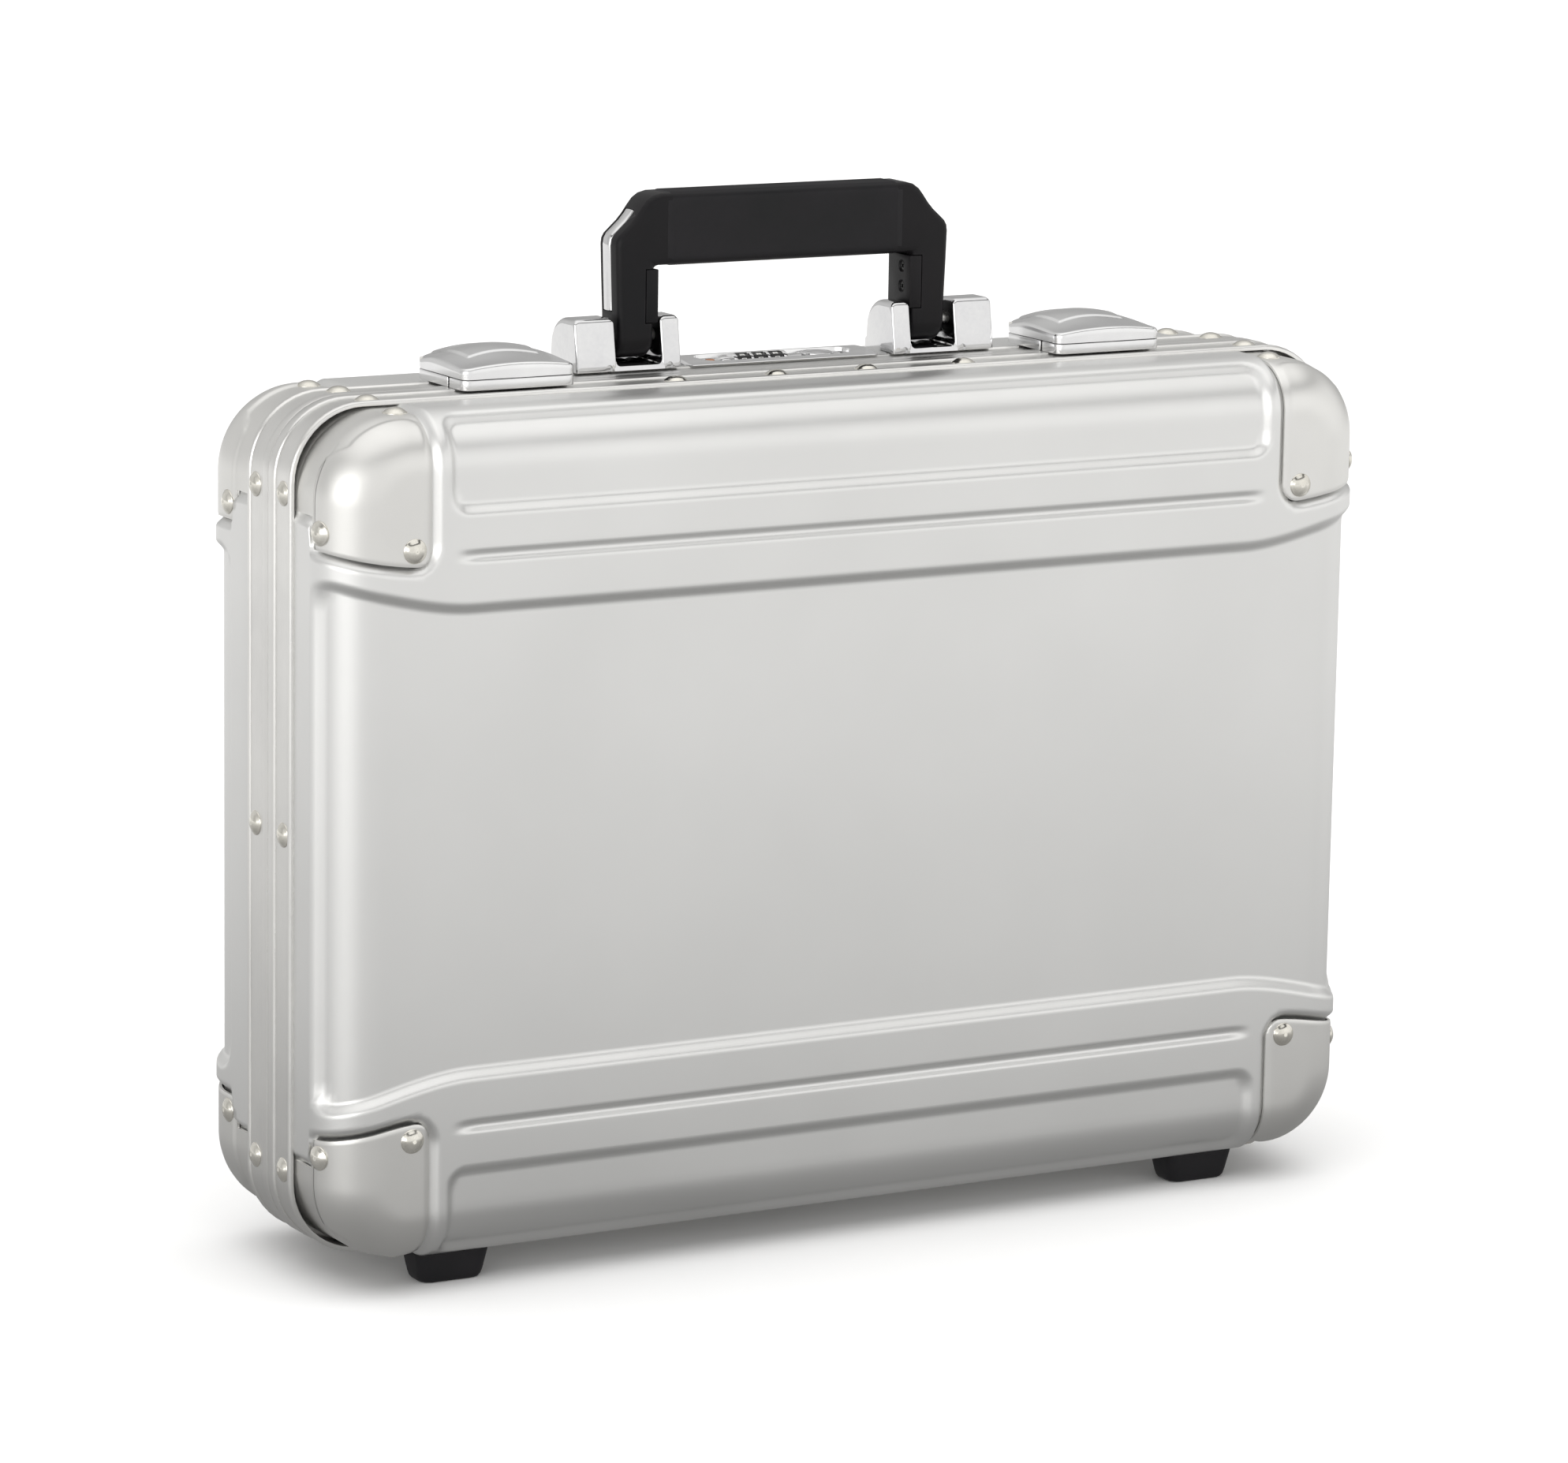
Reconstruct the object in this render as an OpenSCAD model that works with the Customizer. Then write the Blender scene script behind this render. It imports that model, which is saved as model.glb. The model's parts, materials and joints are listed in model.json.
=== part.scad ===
// Aluminum attache case: two pressed shells in riveted frames, hinged along the bottom,
// with a folding handle, two lever latches and a three-dial lock on the base half.
// X is the width, Z is up, -Y is the front (lid side). The case stands on its feet at z = 0.

/* [Case] */
// Width over the frames
case_w = 460; // [440:1:480]
// Height over the frames
case_h = 328; // [310:1:350]
// Depth of the lid shell in front of the seam
lid_depth = 55; // [50:1:70]
// Depth of the base shell behind the seam
base_depth = 65; // [60:1:80]
// Height of the feet below the frames
foot_drop = 11; // [8:0.5:14]

/* [Shells] */
// Corner radius of a shell seen from the front
shell_corner_r = 34; // [30:1:38]
// Rounding from a shell's face into its walls
shell_edge_r = 20; // [16:1:22]
// Sheet thickness of the shells
sheet_t = 1.2; // [1:0.1:1.6]
// Depth of the pressed panels
press_depth = 3; // [2:0.5:4]
// Half height of the middle pressed panel
panel_half_h = 90.4; // [80:0.2:95]
// Sheet thickness of the corner caps
cap_t = 1; // [0.8:0.1:1.5]

/* [Frames] */
// Corner radius of the frames
frame_corner_r = 30; // [26:1:32]
// Depth of each frame from the seam
frame_depth = 19.5; // [17:0.5:22]
// Thickness of the outer frame skin
skin_t = 2; // [1.6:0.1:2.2]
// Thickness of the frame rim at the seam
rim_t = 5; // [4.5:0.1:6]
// Width of the rim, from the outside in
rim_w = 9; // [8:0.5:10]

/* [Hinge and stays] */
// Half length of the hinge
hinge_half = 180; // [150:5:180]
// Number of hinge knuckles
knuckles = 9; // [7:2:13]
// Radius of the hinge pin
hinge_pin_r = 1.2; // [1:0.1:1.4]
// Height of the stay pivots above the hinge, which is also the length of each stay arm
stay_reach = 130; // [110:5:140]

/* [Handle] */
// Half width over the handle legs
handle_half_w = 74.2; // [70:0.2:76]
// Top of the handle above the top of the frames
handle_rise = 67.5; // [60:0.5:75]
// Height of the grip bar
grip_h = 28; // [24:1:30]
// Depth of the handle legs, front to back
leg_depth = 17; // [15:0.5:18]
// Distance of the handle behind the seam
handle_y = 26; // [24:1:28]
// Height of the handle pivot above the frames
pivot_rise = 12; // [11:0.5:13]

/* [Latches] */
// Distance of each latch from the middle
latch_x = 131; // [125:1:140]
// Width of a latch
latch_w = 48; // [44:1:50]
// Height of the crowned lever above its base
lever_h = 9.5; // [8:0.5:11]

/* [Lock] */
// Half length of the lock plate
lock_half = 43; // [40:1:44]
// Distance of the lock from the seam
lock_y = 27; // [25:1:28]
// Radius of a number dial
dial_r = 5.1; // [5:0.1:5.3]
// Spacing of the dials
dial_pitch = 7.4; // [7:0.1:8]

/* [Hidden] */
$fn = 64;

// Clearances
fit = 0.05;
slack = 0.3;

// Places of the case in the row's frame
half_w = case_w / 2;
half_h = case_h / 2;
seam_y = (lid_depth - base_depth) / 2;
mid_z = half_h + foot_drop;

// Shell levels, as insets from the frames' outer faces
shell_inset = skin_t + slack;
shell_top = half_h - shell_inset;
shell_side = half_w - shell_inset;
under_shell = shell_top - sheet_t;

// Pressed pattern of a shell face
band_out_z = 126.2;
end_panel_z = 155;
end_panel_x = 176.5;
groove_z = 109.2;
groove_w = 4.5;
groove_depth = 2;
side_press_d = 34;
bend_x = 162;
bend_rise = 16;

// Corner caps
cap_gap = 0.02;
cap_x = 188;
cap_z = 106.7;
cap_z_side = 114;
cap_face_rivet = [195.5, 112.5];
cap_side_rivet_z = 119;
cap_top_rivet_x = 193.3;

// Rivets
rivet_head_r = 4.8;
rivet_head_h = 2.2;
rivet_r = 1.6;
rivet_hole_r = rivet_r + fit;
rivet_tail_r = 2.6;
rivet_tail_h = 0.8;
frame_rivet_d = 12.4;
side_rivet_z = [-130, 0, 130];
end_rivet_x = 195;
row_rivet_x = [20, 64];

// Frame section, as insets and depths
flange_in = shell_inset + sheet_t + slack;
flange_t = 1.8;
flange_d = 14;
tongue_in = 5;
tongue_t = 1.5;
tongue_h = 2.2;
groove_d = 3.5;
groove_side = 0.3;
seal_bottom_z = -120;

// Hinge
hinge_z = -half_h;
knuckle_r = 2.6;
leaf_t = 1;
leaf_h = 8;
leaf_gap = 0.1;
knuckle_relief = 0.4;
knuckle_len = 2 * hinge_half / knuckles;

// Stays
stay_d = 3.2;
stay_w = 8;
stay_t = 1.5;
stay_outer_x = 216;
stay_inner_x = 213.5;
stud_r = 1.5;
stud_head_r = 3;
stud_head_t = 0.7;

// Feet
foot_x = 169;
foot_w = 30;
foot_l = 19;
foot_r = 4;
foot_lid_d = 29.5;
foot_base_d = 38;

// Handle
pivot_z = half_h + pivot_rise;
leg_w = 16.6;
leg_x = handle_half_w - leg_w;
handle_top = half_h + handle_rise;
grip_bottom = handle_top - grip_h;
grip_half = 50;
grip_wall = 3.2;
shoulder_z = 215;
shoulder_x = 60;
pin_r = 2.5;
trim_t = 1.2;
trim_w = 6.4;
trim_y = handle_y + 2;
trim_in = 0.6;
trim_z = [186, 224];
cover_t = 1.5;
cover_z = [183, 202.2];
cover_screw_z = [189.6, 197.6];

// Brackets
bracket_in = 47.6;
bracket_out = 93.2;
bracket_slot = [leg_x - 1.8, handle_half_w + 1.4];
bracket_d = [14, 38];
bracket_h = 20.3;
bracket_brow_r = 2.2;
bracket_back_r = 10.8;
bracket_lean = 2.4;
bracket_floor = 3;
bracket_screw_x = [52.3, 84.5];
bracket_screw_y = 30;

// Latches
latch_d = [-13, 28.2];
strike_end = -0.6;
latch_base_start = 1;
latch_floor = 1.3;
latch_wall = 2;
latch_step = 4;
lever_gap = 0.3;
lever_bottom = half_h + latch_step + lever_gap;
lever_wall = 1.6;
lever_crown = 4;
lever_tail_r = 3.2;
lever_tail_wall = 1;
latch_pin_r = 1;
latch_pin_y = latch_d[1] - lever_tail_r;
latch_pin_z = lever_bottom + lever_tail_r;
latch_ear_x = 13;
latch_ear_t = 2.5;
latch_corner_r = 4;

// Lock
lock_front = 15;
lock_back = 36;
lock_top = half_h + 1.4;
lock_floor = half_h + 0.2;
lock_recess_x = [-34.5, 34.5];
lock_recess_w = 13.2;
housing_x = [-32, 34];
housing_y = [20.8, 34.8];
housing_bottom = 148;
housing_top = half_h - 1.4;
housing_wall = 0.8;
dial_z = lock_top + 0.9 - dial_r;
dial_w = 5.6;
dial_first_x = -14.4;
dial_shaft_r = 0.8;
knob_x = 20;
knob_r = 6.2;
knob_h = 1.4;
knob_travel = 5;
stem_r = 2;
shaft_x = [dial_first_x - dial_w, dial_first_x + 2 * dial_pitch + dial_w];
reset_x = -28;
reset_r = 2;
reset_bottom = 160;
reset_stroke = 1.5;
bar_y = [16, 19.5];
bar_z = [157.4, 158.2];
bar_half = 128;

// Linings
lining_in = shell_inset + press_depth + sheet_t + 0.5;
lining_t = 1;

// ---------- shared shapes ----------

// Puts a child drawn about the middle of the seam into the row's frame
module in_case() translate([0, seam_y, mid_z]) children();

// Draws a child of the lid side; the base side is its mirror image across the seam
module on_lid() in_case() children();
module on_base() in_case() mirror([0, 1, 0]) children();

// Repeats a child on the left and on the right
module both_sides() {
    children();
    mirror([1, 0, 0]) children();
}

// Box from a low corner to a high corner
module box(low, high) translate(low) cube(high - low);

// Rounded rectangle about the origin
module rounded_rect(w, h, r) {
    square([w - 2 * r, h], center = true);
    square([w, h - 2 * r], center = true);
    for (sx = [-1, 1], sz = [-1, 1]) translate([sx * (w / 2 - r), sz * (h / 2 - r)]) circle(r);
}

// Case outline at an inset from the frames
module outline(inset, r) rounded_rect(case_w - 2 * inset, case_h - 2 * inset, r);

// Slab of a flat outline between two depths in front of the seam
module slab(d0, d1) rotate([90, 0, 0]) translate([0, 0, d0]) linear_extrude(d1 - d0) children();

// Ring that follows the case outline
module ring(in0, in1, r0, r1, d0, d1) {
    slab(d0, d1) difference() {
        outline(in0, r0);
        outline(in1, r1);
    }
}

// Section of a tray from its inner line to its wall, with the rounded edge
module tray_section(run, edge_r, depth) {
    square([run, depth - edge_r]);
    square([run - edge_r, depth]);
    translate([run - edge_r, depth - edge_r]) intersection() {
        circle(edge_r);
        square(edge_r);
    }
}

// Solid tray at an inset from the shell's outer face
module tray(inset, depth) {
    corner_r = shell_corner_r - inset;
    edge_r = shell_edge_r - inset;
    core_w = 2 * (shell_side - shell_corner_r);
    core_h = 2 * (shell_top - shell_corner_r);
    full = depth - inset;
    rotate([90, 0, 0]) {
        translate([-core_w / 2, -core_h / 2, 0]) cube([core_w, core_h, full]);
        for (turn = [0, 180]) rotate([0, 0, turn]) {
            translate([core_w / 2, core_h / 2, 0]) rotate([90, 0, 0])
                linear_extrude(core_h) tray_section(corner_r, edge_r, full);
            translate([-core_w / 2, core_h / 2, 0]) rotate([90, 0, 90])
                linear_extrude(core_w) tray_section(corner_r, edge_r, full);
            translate([core_w / 2, core_h / 2, 0]) rotate_extrude(angle = 90)
                tray_section(corner_r, edge_r, full);
            translate([-core_w / 2, core_h / 2, 0]) rotate([0, 0, 90]) rotate_extrude(angle = 90)
                tray_section(corner_r, edge_r, full);
        }
    }
}

// Domed rivet along +Z: head above zero, shank below it to the given grip, then the tail
module rivet(grip) {
    dome_r = (rivet_head_r ^ 2 + rivet_head_h ^ 2) / (2 * rivet_head_h);
    intersection() {
        translate([0, 0, rivet_head_h - dome_r]) sphere(dome_r);
        cylinder(r = rivet_head_r + 1, h = rivet_head_h + 1);
    }
    translate([0, 0, -grip - fit]) cylinder(r = rivet_r, h = grip + 2 * fit);
    translate([0, 0, -grip - fit - rivet_tail_h]) cylinder(r = rivet_tail_r, h = rivet_tail_h);
}

// Screw along +Z with its head below zero
module screw(shank_r, head_r, head_h, reach) {
    translate([0, 0, -head_h]) cylinder(r = head_r, h = head_h);
    cylinder(r = shank_r, h = reach);
}

// ---------- shells and caps ----------

// Outline of the middle pressed panel, which widens towards the case's sides
module middle_panel_outline(grow) {
    top = panel_half_h + grow;
    side = half_w + 10;
    polygon([[-side, -top - bend_rise], [-bend_x, -top], [bend_x, -top], [side, -top - bend_rise],
        [side, top + bend_rise], [bend_x, top], [-bend_x, top], [-side, top + bend_rise]]);
}

// Space outside the pressed panels' level that the press pushes in
module pressings(grow, depth, inset) {
    difference() {
        union() {
            slab(side_press_d - grow, depth + 1) middle_panel_outline(grow);
            for (s = [-1, 1]) slab(depth - press_depth - inset - 1, depth + 1)
                translate([0, s * (band_out_z + end_panel_z) / 2])
                    square([2 * (end_panel_x + grow), end_panel_z - band_out_z + 2 * grow],
                        center = true);
        }
        tray(inset + press_depth, depth);
    }
}

module groove_cut(depth, inset, grow) {
    for (s = [-1, 1]) slab(depth - groove_depth - inset, depth + 1) translate([0, s * groove_z])
        square([2 * (end_panel_x + grow), groove_w + 2 * grow], center = true);
}

// One pressed face of the shell sheet, at an inset from the outer face
module pressed_tray(depth, inset, grow) {
    difference() {
        tray(inset, depth);
        pressings(grow, depth, inset);
        groove_cut(depth, inset, grow);
    }
}

// Shanks of the frame rivets, in lid directions; xs are the places along the top
module frame_rivet_places(top_xs, bottom_xs) {
    both_sides() for (z = side_rivet_z)
        translate([half_w, -frame_rivet_d, z]) rotate([0, 90, 0]) children();
    both_sides() for (x = top_xs) translate([x, -frame_rivet_d, half_h]) children();
    both_sides() for (x = bottom_xs)
        translate([x, -frame_rivet_d, -half_h]) rotate([180, 0, 0]) children();
}

lid_top_rivets = concat(row_rivet_x, [end_rivet_x]);
base_top_rivets = [end_rivet_x];
bottom_rivets = [row_rivet_x[1], end_rivet_x];

// Places of the three rivets of one cap, for the right-hand top corner
module cap_rivet_places(depth) {
    side_d = depth - shell_edge_r - 2;
    translate([cap_face_rivet[0], -depth - cap_t, cap_face_rivet[1]]) rotate([90, 0, 0]) children();
    translate([shell_side + cap_t, -side_d, cap_side_rivet_z]) rotate([0, 90, 0]) children();
    translate([cap_top_rivet_x, -side_d, shell_top + cap_t]) children();
}

module all_cap_rivet_places(depth) {
    both_sides() for (s = [0, 1]) mirror([0, 0, s]) cap_rivet_places(depth) children();
}

module shell_half(depth, top_xs) {
    difference() {
        pressed_tray(depth, 0, 0);
        pressed_tray(depth, sheet_t, sheet_t);
        box([-half_w, -rim_t - slack, -half_h], [half_w, 1, half_h]);
        frame_rivet_places(top_xs, bottom_rivets) drill(rivet_hole_r);
        all_cap_rivet_places(depth) drill(rivet_hole_r);
    }
}

// Hole through the walls next to a place
module drill(r) translate([0, 0, -12]) cylinder(r = r, h = 24);

// Corner cap for the right-hand top corner
module corner_cap(depth) {
    difference() {
        intersection() {
            tray(-cap_t, depth);
            slab(frame_depth + slack, depth + 2) polygon([[cap_x, cap_z], [cap_x + 6, cap_z],
                [half_w + 5, cap_z_side], [half_w + 5, half_h + 5], [cap_x, half_h + 5]]);
        }
        tray(-cap_gap, depth);
        cap_rivet_places(depth) drill(rivet_hole_r);
    }
}

// Tray-shaped lining inside a shell
module lining_half(depth) {
    inset = lining_in - shell_inset;
    difference() {
        tray(inset, depth);
        tray(inset + lining_t, depth);
        box([-half_w, -rim_t - slack, -half_h], [half_w, 1, half_h]);
    }
}

// ---------- frames and hinge ----------

module frame_section_rings() {
    ring(0, skin_t, frame_corner_r, frame_corner_r - skin_t, 0, frame_depth);
    ring(0, rim_w, frame_corner_r, frame_corner_r - rim_w, 0, rim_t);
    flange_r = shell_corner_r - sheet_t - slack;
    ring(flange_in, flange_in + flange_t, flange_r, flange_r - flange_t, rim_t - 1, flange_d);
}

// Ring of the seal, open along the hinge
module seal_ring(in0, in1, d0, d1) {
    intersection() {
        ring(in0, in1, frame_corner_r - in0, frame_corner_r - in1, d0, d1);
        box([-half_w, -half_h, seal_bottom_z], [half_w, half_h, half_h]);
    }
}

module hinge_relief() {
    box([-hinge_half - 1, -leaf_t - 2 * leaf_gap, hinge_z - 1],
        [hinge_half + 1, 1, hinge_z + leaf_h + 1]);
    translate([-hinge_half - 1, 0, hinge_z]) rotate([0, 90, 0])
        cylinder(r = knuckle_r + knuckle_relief, h = 2 * hinge_half + 2);
}

module frame_half(top_xs) {
    difference() {
        frame_section_rings();
        frame_rivet_places(top_xs, bottom_rivets) drill(rivet_hole_r);
        hinge_relief();
    }
}

// Knuckles of one leaf, every second place along the hinge
module hinge_knuckles(first, r, extra) {
    for (i = [first : 2 : knuckles - 1])
        translate([-hinge_half + i * knuckle_len + leaf_gap - extra, 0, hinge_z])
            rotate([0, 90, 0]) cylinder(r = r, h = knuckle_len - 2 * leaf_gap + 2 * extra);
}

// Hinge leaf drawn on the lid side, with its own knuckles from `first`
module hinge_leaf(first) {
    difference() {
        union() {
            difference() {
                box([-hinge_half, -leaf_gap - leaf_t, hinge_z],
                    [hinge_half, -leaf_gap, hinge_z + leaf_h]);
                hinge_knuckles(1 - first, knuckle_r + knuckle_relief / 2, 2 * leaf_gap);
            }
            hinge_knuckles(first, knuckle_r, 0);
        }
        translate([-hinge_half - 1, 0, hinge_z]) rotate([0, 90, 0])
            cylinder(r = hinge_pin_r + fit, h = 2 * hinge_half + 2);
    }
}

// ---------- rivets and screws of a half ----------

frame_rivet_grip = flange_in + flange_t + 0.45;
cap_rivet_grip = cap_t + sheet_t + 0.15;

foot_screw_h = 2;
foot_bore_r = 3.4;
foot_bore_h = 6;

module rubber_foot(d) {
    difference() {
        translate([foot_x, -d, -mid_z]) linear_extrude(mid_z - shell_top)
            rounded_rect(foot_w, foot_l, foot_r);
        translate([foot_x, -d, -mid_z - 1]) cylinder(r = foot_bore_r, h = foot_bore_h + 1);
        translate([foot_x, -d, -mid_z]) cylinder(r = rivet_hole_r, h = mid_z);
    }
}

module foot_screw(d) {
    translate([foot_x, -d, -mid_z + foot_bore_h]) screw(rivet_r, foot_bore_r - 0.2, foot_screw_h,
        mid_z - under_shell - foot_bore_h + 2);
}

module foot_screw_hole(d) translate([foot_x, -d, -shell_top]) drill(rivet_hole_r);

// Places of the upward screws under the base's hardware
module base_hardware_screw_places() {
    both_sides() {
        for (x = bracket_screw_x) translate([x, bracket_screw_y, under_shell - fit]) children();
        for (s = [-1, 1])
            translate([latch_x + s * (latch_w / 2 - 6), base_screw_y, under_shell - fit]) children();
    }
}

module strike_screw_places() {
    both_sides() for (s = [-1, 1]) translate([latch_x + s * (latch_w / 2 - 5), strike_screw_y,
        half_h - rim_w - fit]) children();
}

base_screw_y = 23.5;
strike_screw_y = -2.6;
screw_head_r = 2.9;
screw_head_h = 1.8;
hardware_reach = 4.6;
strike_reach = rim_w + 2.5;

// ---------- feet, lid organizer ----------

organizer_half = [195, 122];
organizer_t = 9;

module soft_slab(half, r, d0, d1) slab(d0, d1) rounded_rect(2 * half[0], 2 * half[1], r);

// ---------- handle ----------

// Front outline of the handle: a bar on two legs with sloped shoulders
module handle_outline() {
    difference() {
        polygon([[-handle_half_w, half_h], [-handle_half_w, shoulder_z],
            [-shoulder_x, handle_top], [shoulder_x, handle_top],
            [handle_half_w, shoulder_z], [handle_half_w, half_h]]);
        translate([-leg_x, 0]) square([2 * leg_x, grip_bottom]);
    }
}

// Side outline of a leg: round about the pivot, straight above it
module leg_outline() {
    translate([0, pivot_z]) circle(leg_depth / 2);
    translate([-leg_depth / 2, pivot_z]) square([leg_depth, handle_top - pivot_z]);
}

module cover_plate(side) {
    y0 = handle_y - leg_depth / 2 + 1;
    y1 = handle_y + leg_depth / 2 - 1;
    x = side * (leg_x - cover_t / 2);
    translate([x, handle_y, mean(cover_z)])
        cube([cover_t, y1 - y0, cover_z[1] - cover_z[0]], center = true);
}

module cover_screw_places() {
    both_sides() for (z = cover_screw_z)
        translate([leg_x - cover_t, handle_y, z]) rotate([0, 90, 0]) children();
}

function mean(pair) = (pair[0] + pair[1]) / 2;

// Outward normal of the right shoulder's slope in the handle's front view
slope_n = [handle_top - shoulder_z, handle_half_w - shoulder_x]
    / norm([handle_top - shoulder_z, handle_half_w - shoulder_x]);

// Point at height z on the right leg's outer line, moved inwards by t
function leg_line(t, z) = [handle_half_w - t, z];

// The same on the shoulder's slope, and where the two lines meet
function slope_line(t, z) =
    [handle_half_w - (t + slope_n[1] * (z - shoulder_z)) / slope_n[0], z];
function bend_point(t) = [handle_half_w - t, shoulder_z - t * (1 - slope_n[0]) / slope_n[1]];

// Bright strip up the outside of the right leg and over its shoulder
module trim_bar(grow) {
    inner = trim_in + grow;
    outer = trim_in - trim_t - grow;
    translate([0, trim_y + trim_w / 2 + grow, 0]) rotate([90, 0, 0])
        linear_extrude(trim_w + 2 * grow)
            polygon([leg_line(outer, trim_z[0] - grow), bend_point(outer),
                slope_line(outer, trim_z[1] + grow), slope_line(inner, trim_z[1] + grow),
                bend_point(inner), leg_line(inner, trim_z[0] - grow)]);
}

module pivot_bore(r, x0, x1) {
    both_sides() translate([x0, handle_y, pivot_z]) rotate([0, 90, 0])
        cylinder(r = r, h = x1 - x0);
}

module grip_bar(inset, half, depth) {
    z = handle_top - grip_h / 2;
    translate([-half, handle_y, z]) rotate([90, 0, 90])
        linear_extrude(2 * half) rounded_rect(depth - 2 * inset, grip_h - 2 * inset, 6 - inset);
}

// Points along an arc from one angle to another
function arc(centre, r, from, to, steps) =
    [for (i = [0 : steps]) let (a = from + (to - from) * i / steps) centre + r * [cos(a), sin(a)]];

// Bell-shaped side outline of a handle bracket, stepped down behind the frame
module bracket_outline() {
    top = half_h + bracket_h;
    brow_y = bracket_d[0] + bracket_lean + bracket_brow_r;
    back = arc([handle_y - 0.5, top - bracket_back_r], bracket_back_r, 0, 90, 16);
    brow = arc([brow_y, top - bracket_brow_r], bracket_brow_r, 90, 172, 6);
    polygon(concat(back, brow, [[bracket_d[0], half_h + 2], [bracket_d[0], half_h],
        [frame_depth + slack, half_h], [frame_depth + slack, shell_top],
        [bracket_d[1], shell_top], [bracket_d[1], half_h + 3],
        [handle_y - 0.5 + bracket_back_r, half_h + 6]]));
}

module handle_bracket() {
    wall_y = handle_y + leg_depth / 2 + 0.6;
    difference() {
        translate([bracket_in, 0, 0]) rotate([90, 0, 90])
            linear_extrude(bracket_out - bracket_in) bracket_outline();
        box([bracket_slot[0], 0, half_h + bracket_floor], [bracket_slot[1], wall_y, pivot_z + 30]);
        pivot_bore(pin_r + fit, bracket_in + 2, bracket_out - 2);
        base_hardware_screw_places() cylinder(r = rivet_hole_r, h = hardware_reach + 1);
    }
}

// ---------- latches ----------

// Plan outline of a latch between two depths behind the seam
module latch_plan(y0, y1, inset) {
    translate([latch_x, (y0 + y1) / 2])
        rounded_rect(latch_w - 2 * inset, y1 - y0 - 2 * inset, latch_corner_r - inset);
}

module latch_pin_bore(r, half) {
    translate([latch_x - half, latch_pin_y, latch_pin_z]) rotate([0, 90, 0])
        cylinder(r = r, h = 2 * half);
}

module latch_base() {
    ear_r = lever_tail_r - lever_tail_wall - 0.25;
    back = latch_d[1];
    difference() {
        union() {
            difference() {
                translate([0, 0, shell_top]) linear_extrude(half_h + latch_step - shell_top)
                    latch_plan(latch_base_start, back, 0);
                translate([0, 0, half_h + latch_floor]) linear_extrude(latch_step)
                    latch_plan(latch_base_start, back, latch_wall);
                box([0, 0, shell_top - 1], [half_w, frame_depth + slack, half_h]);
            }
            for (s = [-1, 1]) translate([latch_x + s * latch_ear_x - latch_ear_t / 2, 0, 0]) {
                translate([0, latch_pin_y, latch_pin_z]) rotate([0, 90, 0])
                    cylinder(r = ear_r, h = latch_ear_t);
                box([0, latch_pin_y - ear_r, half_h + latch_floor - 0.1],
                    [latch_ear_t, latch_pin_y + ear_r, latch_pin_z]);
            }
        }
        latch_pin_bore(latch_pin_r + fit, latch_w / 2);
        base_hardware_screw_places() cylinder(r = rivet_hole_r, h = hardware_reach + 1);
    }
}

// Side outline of the lever, round about its pin at the back
module lever_side(inset, tail_r) {
    top = lever_bottom + lever_h - inset;
    front = latch_d[0] + inset;
    translate([latch_pin_y, latch_pin_z]) circle(tail_r);
    polygon([[front, lever_bottom - inset], [front, top - 1], [front + 1, top],
        [latch_pin_y - 6, top], [latch_pin_y + tail_r, latch_pin_z + 1],
        [latch_pin_y + tail_r, latch_pin_z], [latch_pin_y, latch_pin_z - tail_r],
        [latch_pin_y, lever_bottom - inset]]);
}

// Crowned lever body at an inset from its outer faces
module lever_body(inset, tail_r) {
    half = latch_w / 2;
    crown_r = (half ^ 2 + lever_crown ^ 2) / (2 * lever_crown);
    intersection() {
        translate([latch_x - half + inset, 0, 0]) rotate([90, 0, 90])
            linear_extrude(latch_w - 2 * inset) lever_side(inset, tail_r);
        translate([latch_x, 60, lever_bottom + lever_h - crown_r]) rotate([90, 0, 0])
            cylinder(r = crown_r - inset, h = 120, $fn = 128);
    }
}

module latch_lever() {
    difference() {
        lever_body(0, lever_tail_r);
        lever_body(lever_wall, lever_tail_r - lever_tail_wall);
        latch_pin_bore(latch_pin_r + fit, latch_w / 2 + 1);
        for (s = [-1, 1]) translate([latch_x + s * latch_ear_x, 0, 0])
            box([-latch_ear_t / 2 - slack, latch_pin_y - lever_tail_r, lever_bottom - 1],
                [latch_ear_t / 2 + slack, latch_pin_y + 2 * lever_tail_r, latch_pin_z + 2.3]);
    }
    hook_z = half_h + latch_step;
    box([latch_x - 6, latch_d[0] + 3, hook_z + lever_gap],
        [latch_x + 6, latch_d[0] + 5, lever_bottom + lever_h - lever_wall]);
}

module latch_strike() {
    difference() {
        translate([0, 0, half_h]) linear_extrude(latch_step) latch_plan(latch_d[0], strike_end, 0);
        translate([0, 0, half_h + latch_step - 1.4]) linear_extrude(2)
            latch_plan(latch_d[0], strike_end + latch_wall, latch_wall);
        strike_screw_places() cylinder(r = rivet_hole_r, h = strike_reach + 0.5);
    }
}

// ---------- lock ----------

function dial_x(i) = dial_first_x + i * dial_pitch;

module dial_slots(grow) {
    for (i = [0 : 2]) translate([dial_x(i) - dial_w / 2 - grow, lock_y, dial_z])
        rotate([0, 90, 0]) cylinder(r = dial_r + grow, h = dial_w + 2 * grow);
}

module knob_slot() {
    box([knob_x, lock_y - stem_r - slack, half_h - 30],
        [knob_x + knob_travel, lock_y + stem_r + slack, lock_top + 1]);
    for (x = [knob_x, knob_x + knob_travel]) translate([x, lock_y, half_h - 30])
        cylinder(r = stem_r + slack, h = 40);
}

// Shallow round-ended recess in the lock plate
module lock_recess() {
    translate([mean(lock_recess_x), lock_y, lock_floor]) linear_extrude(lock_top)
        rounded_rect(lock_recess_x[1] - lock_recess_x[0], lock_recess_w, lock_recess_w / 2 - 0.1);
}

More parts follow.
